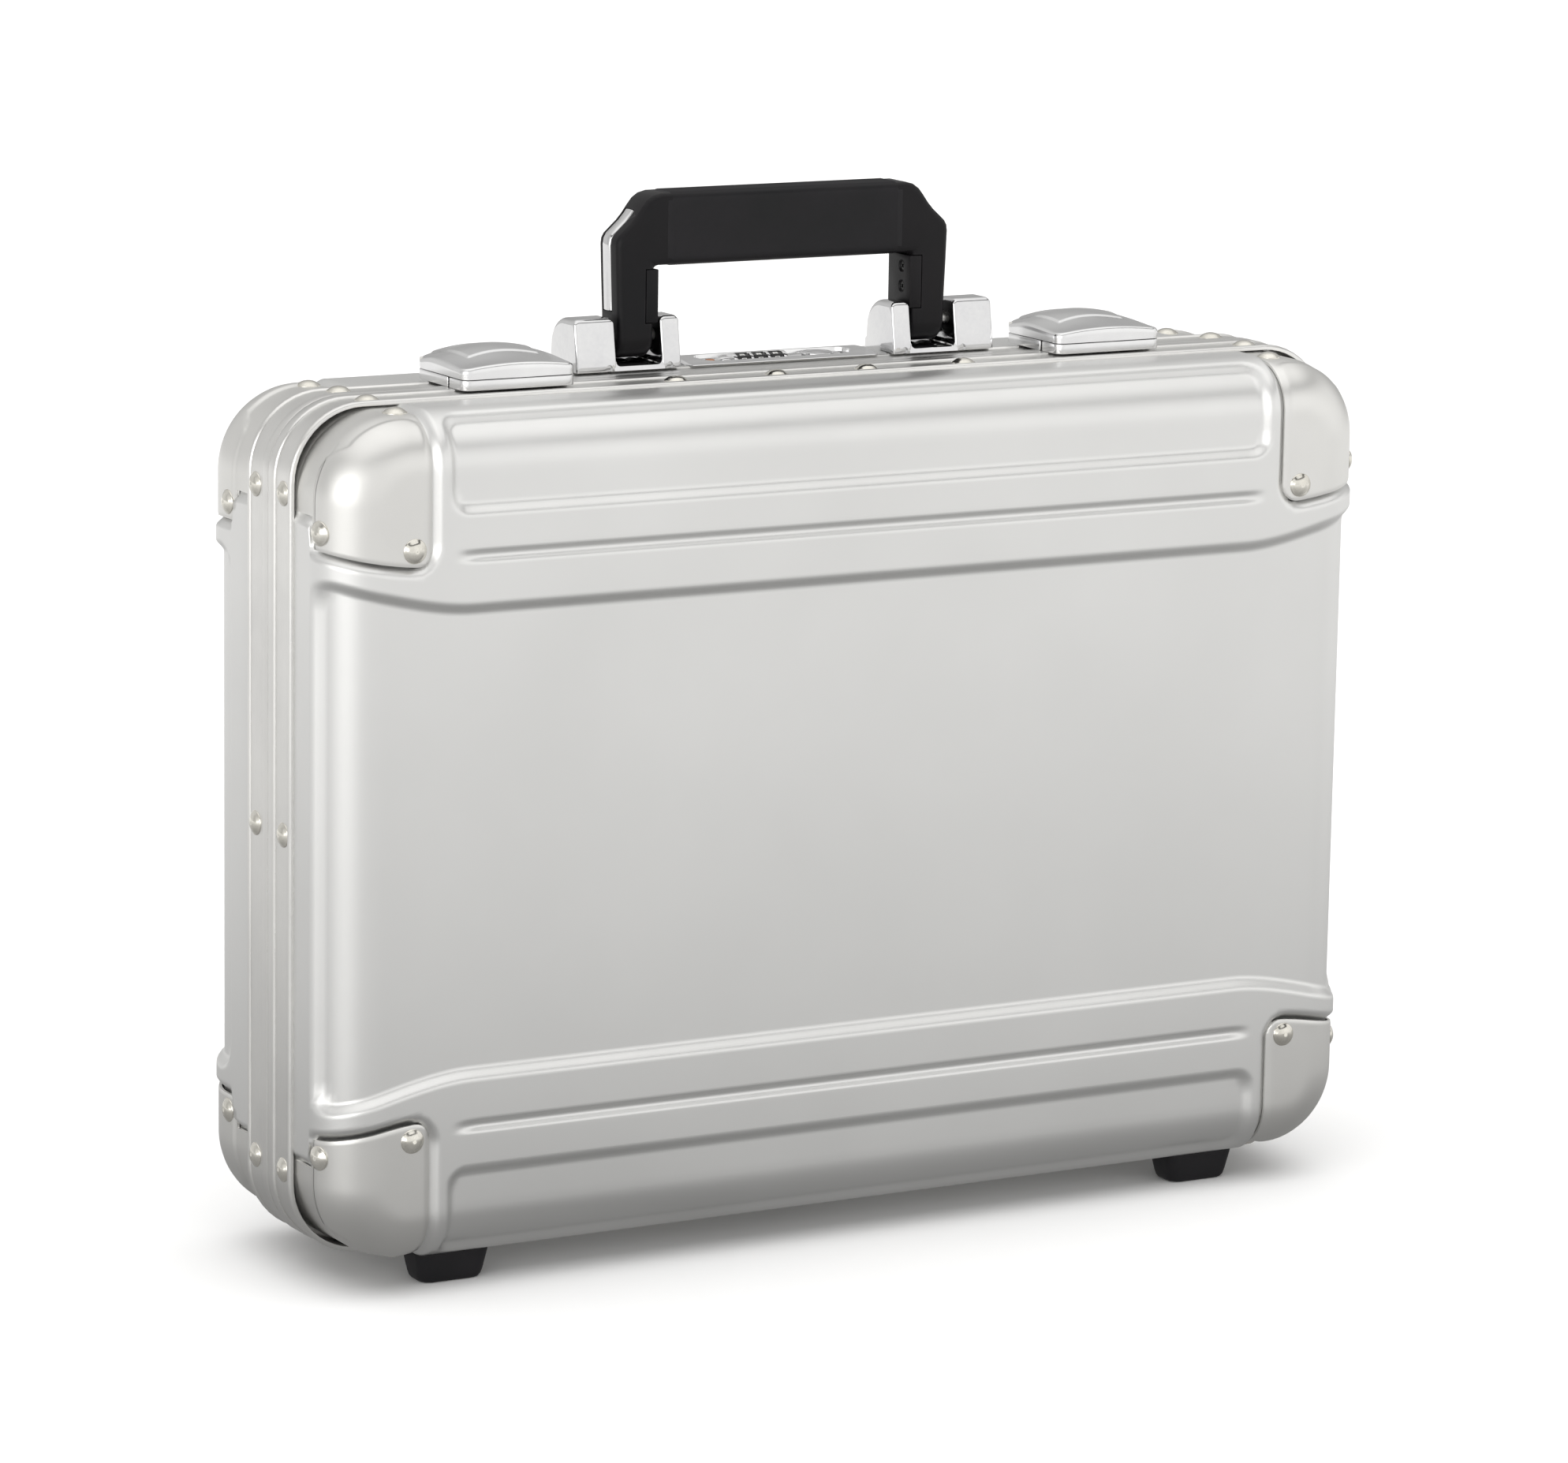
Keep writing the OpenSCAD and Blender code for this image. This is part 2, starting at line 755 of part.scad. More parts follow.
module number_dial(i) {
    difference() {
        translate([dial_x(i) - dial_w / 2, lock_y, dial_z]) rotate([0, 90, 0])
            cylinder(r = dial_r, h = dial_w);
        translate([-lock_half, lock_y, dial_z]) rotate([0, 90, 0])
            cylinder(r = dial_shaft_r + fit, h = 2 * lock_half);
    }
}

module housing_block(grow) {
    box([housing_x[0] - grow, housing_y[0] - grow, housing_bottom - grow],
        [housing_x[1] + grow, housing_y[1] + grow, housing_top + 0.1 * sign(grow)]);
}

// ---------- stays ----------

stay_z = hinge_z + stay_reach;

// Stay arm along +Z from its eye at the origin, drawn at the right-hand side
module stay_bar(x, hole_bottom, hole_top) {
    difference() {
        translate([x, 0, 0]) rotate([90, 0, 90]) linear_extrude(stay_t) {
            circle(stay_w / 2);
            translate([-stay_w / 2, 0]) square([stay_w, stay_reach]);
            translate([0, stay_reach]) circle(stay_w / 2);
        }
        translate([x - 1, 0, 0]) rotate([0, 90, 0]) cylinder(r = hole_bottom, h = stay_t + 2);
        if (hole_top > 0)
            translate([x - 1, 0, stay_reach]) rotate([0, 90, 0])
                cylinder(r = hole_top, h = stay_t + 2);
    }
}

// Leans an arm about its eye so that its far end meets the seam
module lean(side) {
    angle = side * asin(stay_d / stay_reach);
    translate([0, side * stay_d, stay_z]) rotate([angle, 0, 0]) children();
}

module stay_stud(side, head_x) {
    length = half_w - rim_w - head_x;
    translate([head_x, side * stay_d, stay_z]) rotate([0, 90, 0]) {
        cylinder(r = stud_r, h = length);
        cylinder(r = stud_head_r, h = stud_head_t);
    }
}

module stay_base_arm() {
    lean(1) {
        stay_bar(stay_outer_x, stud_r + fit, 0);
        translate([stay_inner_x - slack - stud_head_t, 0, stay_reach]) rotate([0, 90, 0]) {
            cylinder(r = stud_r, h = stay_outer_x - stay_inner_x + slack + stud_head_t + 0.5);
            cylinder(r = stud_head_r, h = stud_head_t);
        }
    }
}

module stay_lid_arm() lean(-1) stay_bar(stay_inner_x, stud_r + fit, stud_r + slack);

// ---------- nodes ----------

module base_shell() color("silver") difference() {
    on_base() shell_half(base_depth, base_top_rivets);
    in_case() {
        base_hardware_screw_places() cylinder(r = rivet_hole_r, h = 3);
        box([housing_x[0] - slack, housing_y[0] - slack, housing_bottom],
            [housing_x[1] + slack, housing_y[1] + slack, half_h]);
    }
    on_base() both_sides() foot_screw_hole(foot_base_d);
}

module lid_shell() color("silver") on_lid() difference() {
    shell_half(lid_depth, lid_top_rivets);
    both_sides() foot_screw_hole(foot_lid_d);
}

module base_frame() color("gainsboro") on_base() difference() {
    frame_half(base_top_rivets);
    seal_ring(tongue_in - groove_side, tongue_in + tongue_t + groove_side, -1, groove_d);
}

module lid_frame() color("gainsboro") on_lid() difference() {
    union() {
        frame_half(lid_top_rivets);
        seal_ring(tongue_in, tongue_in + tongue_t, -tongue_h, 0.5);
    }
    strike_screw_places() cylinder(r = rivet_hole_r, h = rim_w + 1);
}

module cap_top_right(depth) corner_cap(depth);
module cap_top_left(depth) mirror([1, 0, 0]) corner_cap(depth);
module cap_bottom_right(depth) mirror([0, 0, 1]) corner_cap(depth);
module cap_bottom_left(depth) mirror([1, 0, 0]) mirror([0, 0, 1]) corner_cap(depth);

module base_cap_top_left() color("lightgray") on_base() cap_top_left(base_depth);
module base_cap_top_right() color("lightgray") on_base() cap_top_right(base_depth);
module base_cap_bottom_left() color("lightgray") on_base() cap_bottom_left(base_depth);
module base_cap_bottom_right() color("lightgray") on_base() cap_bottom_right(base_depth);
module lid_cap_top_left() color("lightgray") on_lid() cap_top_left(lid_depth);
module lid_cap_top_right() color("lightgray") on_lid() cap_top_right(lid_depth);
module lid_cap_bottom_left() color("lightgray") on_lid() cap_bottom_left(lid_depth);
module lid_cap_bottom_right() color("lightgray") on_lid() cap_bottom_right(lid_depth);

module base_cap_rivets() color("white") on_base()
    all_cap_rivet_places(base_depth) rivet(cap_rivet_grip);

module lid_cap_rivets() color("white") on_lid()
    all_cap_rivet_places(lid_depth) rivet(cap_rivet_grip);

module base_frame_rivets() color("white") on_base()
    frame_rivet_places(base_top_rivets, bottom_rivets) rivet(frame_rivet_grip);

module lid_frame_rivets() color("white") on_lid()
    frame_rivet_places(lid_top_rivets, bottom_rivets) rivet(frame_rivet_grip);

module base_lining() color("dimgray") difference() {
    on_base() lining_half(base_depth);
    in_case() box([housing_x[0] - 2, housing_y[0] - 2, housing_bottom - 2],
        [housing_x[1] + 2, housing_y[1] + 2, half_h]);
}

module lid_lining() color("dimgray") on_lid() lining_half(lid_depth);

module lid_organizer() color("#303030") on_lid()
    soft_slab(organizer_half, 10, lid_depth - lining_in - organizer_t,
        lid_depth - lining_in + shell_inset - lining_t - slack);

module frame_gasket() color("black") on_base()
    seal_ring(tongue_in - groove_side + fit, tongue_in + tongue_t + groove_side - fit,
        tongue_h + slack, groove_d - fit);

module hinge_base_leaf() color("gray") on_base() hinge_leaf(0);
module hinge_lid_leaf() color("gray") on_lid() hinge_leaf(1);

module hinge_pin() color("silver") in_case()
    translate([-hinge_half, 0, hinge_z]) rotate([0, 90, 0])
        cylinder(r = hinge_pin_r, h = 2 * hinge_half);

module base_feet() color("#202020") on_base() both_sides() rubber_foot(foot_base_d);
module lid_feet() color("#202020") on_lid() both_sides() rubber_foot(foot_lid_d);

module base_screws() color("gray") {
    on_base() both_sides() foot_screw(foot_base_d);
    in_case() base_hardware_screw_places()
        screw(rivet_r, screw_head_r, screw_head_h, hardware_reach);
}

module lid_screws() color("gray") on_lid() {
    both_sides() foot_screw(foot_lid_d);
    strike_screw_places() screw(rivet_r, screw_head_r, screw_head_h, strike_reach);
}

module handle_bracket_right() color("white") in_case() handle_bracket();
module handle_bracket_left() color("white") in_case() mirror([1, 0, 0]) handle_bracket();

module handle_pivot_pins() color("gray") in_case()
    pivot_bore(pin_r, bracket_in + 2 + fit, bracket_out - 2 - fit);

module handle_body() color("#282828") in_case() difference() {
    intersection() {
        translate([0, handle_y + leg_depth / 2, 0]) rotate([90, 0, 0])
            linear_extrude(leg_depth) handle_outline();
        translate([-half_w, handle_y, 0]) rotate([90, 0, 90])
            linear_extrude(case_w) leg_outline();
    }
    difference() {
        translate([-grip_half, 0, grip_bottom - 1]) cube([2 * grip_half, 60, grip_h + 2]);
        grip_bar(grip_wall, grip_half + 1, leg_depth + 2);
    }
    pivot_bore(pin_r + fit, leg_x - 1, handle_half_w + 1);
    both_sides() trim_bar(fit);
    cover_screw_places() cylinder(r = cover_screw_r + fit, h = cover_screw_l + 1);
}

cover_screw_r = 1.2;
cover_screw_l = 7;
cover_head_r = 2.3;
cover_head_h = 1;

module handle_grip() color("#1c1c1c") in_case() difference() {
    grip_bar(0, grip_half - fit, leg_depth + 2);
    grip_bar(grip_wall - fit, grip_half + 1, leg_depth + 2);
}

module handle_trim_right() color("white") in_case() trim_bar(0);
module handle_trim_left() color("white") in_case() mirror([1, 0, 0]) trim_bar(0);

module handle_covers() color("#303030") in_case() difference() {
    for (side = [-1, 1]) cover_plate(side);
    cover_screw_places() {
        translate([0, 0, -1]) cylinder(r = cover_screw_r + fit, h = cover_screw_l);
        translate([0, 0, -1]) cylinder(r = cover_head_r + fit, h = 1 + cover_head_h);
    }
}

module handle_cover_screws() color("silver") in_case() cover_screw_places() {
    cylinder(r = cover_head_r, h = cover_head_h);
    cylinder(r = cover_screw_r, h = cover_screw_l);
}

module latch_base_right() color("lightgray") in_case() latch_base();
module latch_base_left() color("lightgray") in_case() mirror([1, 0, 0]) latch_base();
module latch_lever_right() color("silver") in_case() latch_lever();
module latch_lever_left() color("silver") in_case() mirror([1, 0, 0]) latch_lever();
module strike_right() color("lightgray") in_case() latch_strike();
module strike_left() color("lightgray") in_case() mirror([1, 0, 0]) latch_strike();

module latch_pins() color("gray") in_case() both_sides()
    latch_pin_bore(latch_pin_r, latch_w / 2 - 0.4);

// Coiled springs round the latch pins, drawn as closed coils
module latch_springs() color("gray") in_case() both_sides() difference() {
    latch_pin_bore(lever_tail_r - lever_tail_wall - 0.4, latch_ear_x - latch_ear_t / 2 - slack);
    latch_pin_bore(latch_pin_r + slack, latch_w);
}

module lock_plate() color("gainsboro") in_case() difference() {
    translate([0, 0, shell_top]) linear_extrude(lock_top - shell_top)
        translate([0, (lock_front + lock_back) / 2])
            rounded_rect(2 * lock_half, lock_back - lock_front, 3);
    box([-half_w, 0, shell_top - 1], [half_w, frame_depth + slack, half_h]);
    lock_recess();
    housing_block(slack);
    dial_slots(slack);
    knob_slot();
    translate([reset_x, lock_y, shell_top - 1]) cylinder(r = reset_r + fit, h = 10);
}

module lock_housing() color("gray") in_case() difference() {
    housing_block(0);
    box([dial_x(0) - dial_w / 2 - 1, housing_y[0] + housing_wall, housing_bottom + housing_wall],
        [dial_x(2) + dial_w / 2 + 1, housing_y[1] - housing_wall, half_h]);
    box([knob_x - 8, housing_y[0] + housing_wall, housing_bottom + housing_wall],
        [housing_x[1] - housing_wall, housing_y[1] - housing_wall, half_h]);
    box([knob_x - 6, 0, bar_z[0] - slack],
        [knob_x + knob_travel + 6, lock_y, bar_z[1] + slack]);
    translate([shaft_x[0] - slack, lock_y, dial_z]) rotate([0, 90, 0])
        cylinder(r = dial_shaft_r + fit, h = shaft_x[1] - shaft_x[0] + 2 * slack);
    translate([reset_x, lock_y, reset_bottom - reset_stroke]) cylinder(r = reset_r + fit, h = 10);
}

module dial_shaft() color("gray") in_case()
    translate([shaft_x[0], lock_y, dial_z]) rotate([0, 90, 0])
        cylinder(r = dial_shaft_r, h = shaft_x[1] - shaft_x[0]);

module dial_1() color("#202020") in_case() number_dial(0);
module dial_2() color("#202020") in_case() number_dial(1);
module dial_3() color("#202020") in_case() number_dial(2);

module release_knob() color("silver") in_case() translate([knob_x, lock_y, 0]) {
    translate([0, 0, lock_floor + fit]) cylinder(r = knob_r, h = knob_h);
    translate([0, 0, bar_z[1] + fit]) cylinder(r = stem_r, h = lock_floor + 1 - bar_z[1]);
}

module lock_bar() color("gray") in_case() {
    box([-bar_half, bar_y[0], bar_z[0]], [bar_half, bar_y[1], bar_z[1]]);
    box([knob_x - 3, bar_y[1] - 1, bar_z[0]], [knob_x + 3, lock_y + stem_r, bar_z[1]]);
}

module code_reset_button() color("peru") in_case()
    translate([reset_x, lock_y, reset_bottom])
        cylinder(r = reset_r, h = lock_floor + slack - reset_bottom);

module stay_base_pivots() color("gray") in_case() both_sides()
    stay_stud(1, stay_outer_x - stud_head_t - fit);

module stay_lid_pivots() color("gray") in_case() both_sides()
    stay_stud(-1, stay_inner_x - stud_head_t - fit);

module stay_base_arm_right() color("silver") in_case() stay_base_arm();
module stay_base_arm_left() color("silver") in_case() mirror([1, 0, 0]) stay_base_arm();
module stay_lid_arm_right() color("silver") in_case() stay_lid_arm();
module stay_lid_arm_left() color("silver") in_case() mirror([1, 0, 0]) stay_lid_arm();

base_shell();
base_frame();
base_cap_top_left();
base_cap_top_right();
base_cap_bottom_left();
base_cap_bottom_right();
base_cap_rivets();
base_frame_rivets();
base_lining();
frame_gasket();
hinge_base_leaf();
hinge_pin();
base_feet();
base_screws();
handle_bracket_left();
handle_bracket_right();
handle_pivot_pins();
latch_base_left();
latch_base_right();
latch_pins();
latch_springs();
lock_plate();
lock_housing();
dial_shaft();
stay_base_pivots();
handle_body();
handle_grip();
handle_trim_left();
handle_trim_right();
handle_covers();
handle_cover_screws();
lid_shell();
lid_frame();
lid_cap_top_left();
lid_cap_top_right();
lid_cap_bottom_left();
lid_cap_bottom_right();
lid_cap_rivets();
lid_frame_rivets();
lid_lining();
lid_organizer();
hinge_lid_leaf();
lid_feet();
lid_screws();
strike_left();
strike_right();
stay_lid_pivots();
latch_lever_left();
latch_lever_right();
dial_1();
dial_2();
dial_3();
release_knob();
lock_bar();
code_reset_button();
stay_base_arm_left();
stay_base_arm_right();
stay_lid_arm_left();
stay_lid_arm_right();
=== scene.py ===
"""Looks of the aluminum attache case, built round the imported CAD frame.

Lengths inside this script are in millimetres in the case's own frame: x to the right, d away
from the seam into a half (lid: towards -Y, base: towards +Y) and z up from the case's middle.
"""
import json
import math

import bmesh
import bpy
from mathutils import Matrix, Vector

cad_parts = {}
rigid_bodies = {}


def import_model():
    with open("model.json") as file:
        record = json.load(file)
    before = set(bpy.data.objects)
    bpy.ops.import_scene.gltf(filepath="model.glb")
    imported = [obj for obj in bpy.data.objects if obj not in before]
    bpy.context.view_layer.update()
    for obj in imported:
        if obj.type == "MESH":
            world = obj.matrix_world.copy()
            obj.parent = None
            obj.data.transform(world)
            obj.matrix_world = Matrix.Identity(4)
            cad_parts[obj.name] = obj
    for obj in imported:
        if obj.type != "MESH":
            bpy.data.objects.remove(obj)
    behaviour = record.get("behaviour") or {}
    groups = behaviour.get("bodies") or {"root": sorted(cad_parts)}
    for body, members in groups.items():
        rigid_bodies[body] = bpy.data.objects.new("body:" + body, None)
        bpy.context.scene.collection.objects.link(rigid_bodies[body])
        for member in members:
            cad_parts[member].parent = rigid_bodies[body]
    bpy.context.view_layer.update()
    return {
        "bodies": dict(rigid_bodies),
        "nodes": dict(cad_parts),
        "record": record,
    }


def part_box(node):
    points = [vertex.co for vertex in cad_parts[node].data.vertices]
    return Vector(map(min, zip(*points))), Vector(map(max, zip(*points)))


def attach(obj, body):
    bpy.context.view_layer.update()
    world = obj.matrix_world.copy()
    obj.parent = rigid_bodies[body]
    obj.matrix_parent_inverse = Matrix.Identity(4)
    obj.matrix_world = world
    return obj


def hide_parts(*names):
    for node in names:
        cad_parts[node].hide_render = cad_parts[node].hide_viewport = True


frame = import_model()

MM = 0.001

# ---------------------------------------------------------------- places, read from the frame


def node_mm(name):
    """Lowest and highest corner of a CAD node in millimetres."""
    low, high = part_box(name)
    return low / MM, high / MM


def mean(low, high):
    return (low + high) / 2


frame_low, frame_high = node_mm("base_frame")
HALF_W = frame_high.x
HALF_H = (frame_high.z - frame_low.z) / 2
MID_Z = mean(frame_low.z, frame_high.z)
SEAM_Y = frame_low.y
FRAME_D = frame_high.y - frame_low.y

lid_low, lid_high = node_mm("lid_shell")
base_low, base_high = node_mm("base_shell")
SHELL_X = lid_high.x
SHELL_Z = lid_high.z - MID_Z
DEPTH = {"lid": SEAM_Y - lid_low.y, "base": base_high.y - SEAM_Y}
SIGN = {"lid": -1, "base": 1}

CORNER_R = 32.0
EDGE_R = 20.0
CORE_X = SHELL_X - CORNER_R
CORE_Z = SHELL_Z - CORNER_R
ARC_LEN = EDGE_R * math.pi / 2
FACE_RUN = CORNER_R - EDGE_R

# ---------------------------------------------------------------- small helpers


def to_row(side, x, d, z):
    """Case-frame millimetres on one half to row-frame metres."""
    return Vector((x * MM, (SEAM_Y + SIGN[side] * d) * MM, (MID_Z + z) * MM))


def row(x, y, z):
    """Case-frame millimetres, with y behind the seam, to row-frame metres."""
    return Vector((x * MM, (SEAM_Y + y) * MM, (MID_Z + z) * MM))


def smooth(t):
    t = min(1.0, max(0.0, t))
    return t * t * (3 - 2 * t)


def ramp(value, start, end):
    return smooth((value - start) / (end - start))


def make_object(name, verts, faces, smooth_faces=True):
    mesh = bpy.data.meshes.new(name)
    mesh.from_pydata([tuple(v) for v in verts], [], faces)
    mesh.validate()
    bm = bmesh.new()
    bm.from_mesh(mesh)
    bmesh.ops.recalc_face_normals(bm, faces=bm.faces)
    bm.to_mesh(mesh)
    bm.free()
    for polygon in mesh.polygons:
        polygon.use_smooth = smooth_faces
    obj = bpy.data.objects.new(name, mesh)
    bpy.context.scene.collection.objects.link(obj)
    return obj


def finish_piece(obj, body, material, nodes=()):
    """Gives a piece its material and slot, stands it for CAD nodes and rides it on its body."""
    obj.data.materials.clear()
    obj.data.materials.append(material)
    if nodes:
        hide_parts(*nodes)
    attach(obj, body)
    return obj


def apply_modifiers(obj):
    bpy.context.view_layer.update()
    graph = bpy.context.evaluated_depsgraph_get()
    mesh = bpy.data.meshes.new_from_object(obj.evaluated_get(graph))
    old = obj.data
    obj.modifiers.clear()
    obj.data = mesh
    mesh.name = obj.name
    bpy.data.meshes.remove(old)
    return obj


def add_bevel(obj, width, segments=3, angle=35):
    bevel = obj.modifiers.new("bevel", "BEVEL")
    bevel.width = width * MM
    bevel.segments = segments
    bevel.limit_method = "ANGLE"
    bevel.angle_limit = math.radians(angle)
    bevel.harden_normals = False
    return obj


def add_solidify(obj, thickness):
    solid = obj.modifiers.new("solid", "SOLIDIFY")
    solid.thickness = thickness * MM
    solid.offset = -1
    solid.use_even_offset = True
    return obj


def spread(stops, steps):
    """Grid lines through the stops, with the given number of steps between each pair."""
    lines = [stops[0]]
    for (a, b), n in zip(zip(stops, stops[1:]), steps):
        lines += [a + (b - a) * i / n for i in range(1, n + 1)]
    return lines


def mirrored(lines):
    """Grid lines from a positive half, on both sides of zero."""
    return [-v for v in reversed(lines)] + [v for v in lines if v > 0]


# ---------------------------------------------------------------- shape builders


def ring_faces(rings, count, closed_ends):
    """Quads between successive rings of points, with a face on each end if asked."""
    faces = []
    for j in range(rings - 1):
        for i in range(count):
            k = (i + 1) % count
            faces.append((j * count + i, j * count + k, (j + 1) * count + k, (j + 1) * count + i))
    if closed_ends:
        faces.append(tuple(reversed(range(count))))
        faces.append(tuple((rings - 1) * count + i for i in range(count)))
    return faces


def loft(name, rings, closed_ends=True):
    """Skin through rings of row-frame points, all with the same number of points."""
    verts = [p for ring in rings for p in ring]
    return make_object(name, verts, ring_faces(len(rings), len(rings[0]), closed_ends))


def arc_points(cx, cy, r, start, end, steps):
    """Points along an arc, angles in degrees."""
    out = []
    for i in range(steps + 1):
        a = math.radians(start + (end - start) * i / steps)
        out.append((cx + r * math.cos(a), cy + r * math.sin(a)))
    return out


def rounded_rect(half_a, half_b, r, steps=5):
    """Outline of a rounded rectangle about zero, counter-clockwise."""
    r = min(r, half_a, half_b)
    a, b = half_a - r, half_b - r
    points = arc_points(a, b, r, 0, 90, steps) + arc_points(-a, b, r, 90, 180, steps)
    return points + arc_points(-a, -b, r, 180, 270, steps) + arc_points(a, -b, r, 270, 360, steps)


def extrude_x(name, outline, x0, x1):
    """Prism of a (y, z) outline between two x places."""
    rings = [[row(x, y, z) for y, z in outline] for x in (x0, x1)]
    return loft(name, rings)


def block(name, low, high):
    """Plain box between two case-frame corners, used for cutting and as a base for bevels."""
    outline = [(low[1], low[2]), (high[1], low[2]), (high[1], high[2]), (low[1], high[2])]
    obj = extrude_x(name, outline, low[0], high[0])
    for polygon in obj.data.polygons:
        polygon.use_smooth = False
    return obj


def cut(obj, *cutters):
    """Takes the cutters' shapes out of obj and deletes them."""
    for cutter in cutters:
        boolean = obj.modifiers.new("cut", "BOOLEAN")
        boolean.operation = "DIFFERENCE"
        boolean.solver = "EXACT"
        boolean.object = cutter
    apply_modifiers(obj)
    for cutter in cutters:
        bpy.data.objects.remove(cutter, do_unlink=True)
    return obj


def group(name, objects):
    """Puts separate pieces of one kind into one mesh."""
    bm = bmesh.new()
    for obj in objects:
        start = len(bm.verts)
        bm.from_mesh(obj.data)
        bm.verts.ensure_lookup_table()
        for vert in bm.verts[start:]:
            vert.co = obj.matrix_world @ vert.co
    mesh = bpy.data.meshes.new(name)
    bm.to_mesh(mesh)
    bm.free()
    for obj in objects:
        bpy.data.objects.remove(obj, do_unlink=True)
    out = bpy.data.objects.new(name, mesh)
    bpy.context.scene.collection.objects.link(out)
    return out


def lathe(name, profile, centre, axis, segments=32):
    """Turned solid: profile is (radius, height) from bottom to top along an axis."""
    axis = Vector(axis).normalized()
    side = axis.orthogonal().normalized()
    other = axis.cross(side)
    rings = []
    for r, h in profile:
        ring = []
        for i in range(segments):
            a = 2 * math.pi * i / segments
            offset = (side * math.cos(a) + other * math.sin(a)) * r + axis * h
            ring.append(centre + offset * MM)
        rings.append(ring)
    return loft(name, rings)


# ---------------------------------------------------------------- the pressed shells

PANEL_Z = 91.6
GROOVE_Z = 109.2
BAND_Z = 124.2
END_X = 181.8
END_Z = 160.4
BEND_X = (170.0, 246.0)
BEND_MAX = 12.5
BAND_RISE = 1.2
PANEL_SINK = 1.9
STEP_W = 4.8
GROOVE_W = 4.4
GROOVE_SINK = 1.3
SIDE_PRESS_D = 35.5
CAP_X = 188.0
CAP_Z = 106.0
CAP_Z_SIDE = 112.6
CAP_Z_FLANGE = 124.5
CAP_BEAD_W = 4.0
CAP_UNDER = 1.9
CAP_LEVEL = 0.4
CAP_FLANGE_LEVEL = -0.5
CAP_TOP_D = 43.0
CAP_SHEET = 1.0


def profile_point(run, depth):
    """Section of a half from its core outwards: (reach, d, outward normal r, outward normal d)."""
    if run <= FACE_RUN:
        return run, depth, 0.0, 1.0
    if run <= FACE_RUN + ARC_LEN:
        a = (run - FACE_RUN) / EDGE_R
        reach = FACE_RUN + EDGE_R * math.sin(a)
        return reach, depth - EDGE_R * (1 - math.cos(a)), math.sin(a), math.cos(a)
    return CORNER_R, depth - EDGE_R - (run - FACE_RUN - ARC_LEN), 1.0, 0.0


def sheet_point(u, v, depth, level):
    """Maps a flat sheet onto a half's rounded tray, at a level above its outer face."""
    over_u = max(0.0, abs(u) - CORE_X)
    over_v = max(0.0, abs(v) - CORE_Z)
    run = max(over_u, over_v)
    if run == 0.0:
        return Vector((u, depth + level, v))
    if over_v == 0.0:
        angle = 0.0
    elif over_u == 0.0:
        angle = math.pi / 2
    elif over_u >= over_v:
        angle = math.pi / 4 * over_v / over_u
    else:
        angle = math.pi / 2 - math.pi / 4 * over_u / over_v
    reach, d, normal_r, normal_d = profile_point(run, depth)
    reach += normal_r * level
    sx = math.copysign(1, u)
    sz = math.copysign(1, v)
    x = sx * (CORE_X + reach * math.cos(angle)) if over_u > 0 else u
    z = sz * (CORE_Z + reach * math.sin(angle)) if over_v > 0 else v
    return Vector((x, d + normal_d * level, z))


def run_at_depth(d, depth):
    """Length along the section from the core to a distance d from the seam, on the wall."""
    return FACE_RUN + ARC_LEN + (depth - EDGE_R - d)


def bend(u):
    """How far the pressed lines have moved outwards, towards the case's sides."""
    return BEND_MAX * ramp(abs(u), *BEND_X)


def line_shift(u, v):
    """Outward shift of a pressed line that lies at v in the middle of the case."""
    share = ramp(abs(v), 30, 84) * (1 - ramp(abs(v), 97, 127))
    return math.copysign(bend(u) * share, v)


def rounded_edge(a, b, r):
    """Signed distance to a corner that is rounded by r: negative inside both limits."""
    if a > -r and b > -r:
        return math.hypot(max(a + r, 0), max(b + r, 0)) - r
    return max(a, b)


def shell_level(u, v, depth):
    """Height of the pressed sheet above the tray's plain face."""
    au, av = abs(u), abs(v)
    run_u = max(0.0, au - CORE_X)
    d_side = depth - EDGE_R - (run_u - FACE_RUN - ARC_LEN)
    middle = rounded_edge(av - PANEL_Z, SIDE_PRESS_D - d_side, 12.0)
    end_arc = math.asin((END_Z - CORE_Z - FACE_RUN) / EDGE_R)
    end_out = max(0.0, av - CORE_Z) - FACE_RUN - EDGE_R * end_arc
    end = rounded_edge(rounded_edge(au - END_X, BAND_Z - av, 9.0), end_out, 9.0)
    pressed = max(1 - ramp(middle, -STEP_W, 0), 1 - ramp(end, -STEP_W, 0))
    level = BAND_RISE - (BAND_RISE + PANEL_SINK) * pressed
    groove_end = ramp(au, END_X - 2, END_X - 14)
    groove = 1 - ramp(abs(av - GROOVE_Z), 0.4, GROOVE_W / 2 + 0.6)
    level -= GROOVE_SINK * groove * groove_end
    flange = CORE_X + run_at_depth(SIDE_PRESS_D, depth)
    edge_z = cap_edge(au) + (CAP_Z_FLANGE - CAP_Z_SIDE) * ramp(au, flange - 1.0, flange + 2.5)
    outside_cap = rounded_edge(CAP_X - au, edge_z - av - abs(line_shift(u, av)), 9.0)
    under_cap = 1 - ramp(outside_cap, 0.0, CAP_BEAD_W)
    wall_d = depth - EDGE_R - (max(run_u, max(0.0, av - CORE_Z)) - FACE_RUN - ARC_LEN)
    level = level * (1 - under_cap) - CAP_UNDER * under_cap
    return level * ramp(wall_d, FRAME_D - 4, FRAME_D + 6)


def cap_edge(au):
    """Height of the lower edge of a cap's raised part, at a place along the sheet."""
    return CAP_Z + (CAP_Z_SIDE - CAP_Z) * ramp(au, CAP_X, CORE_X + FACE_RUN + ARC_LEN + 2)


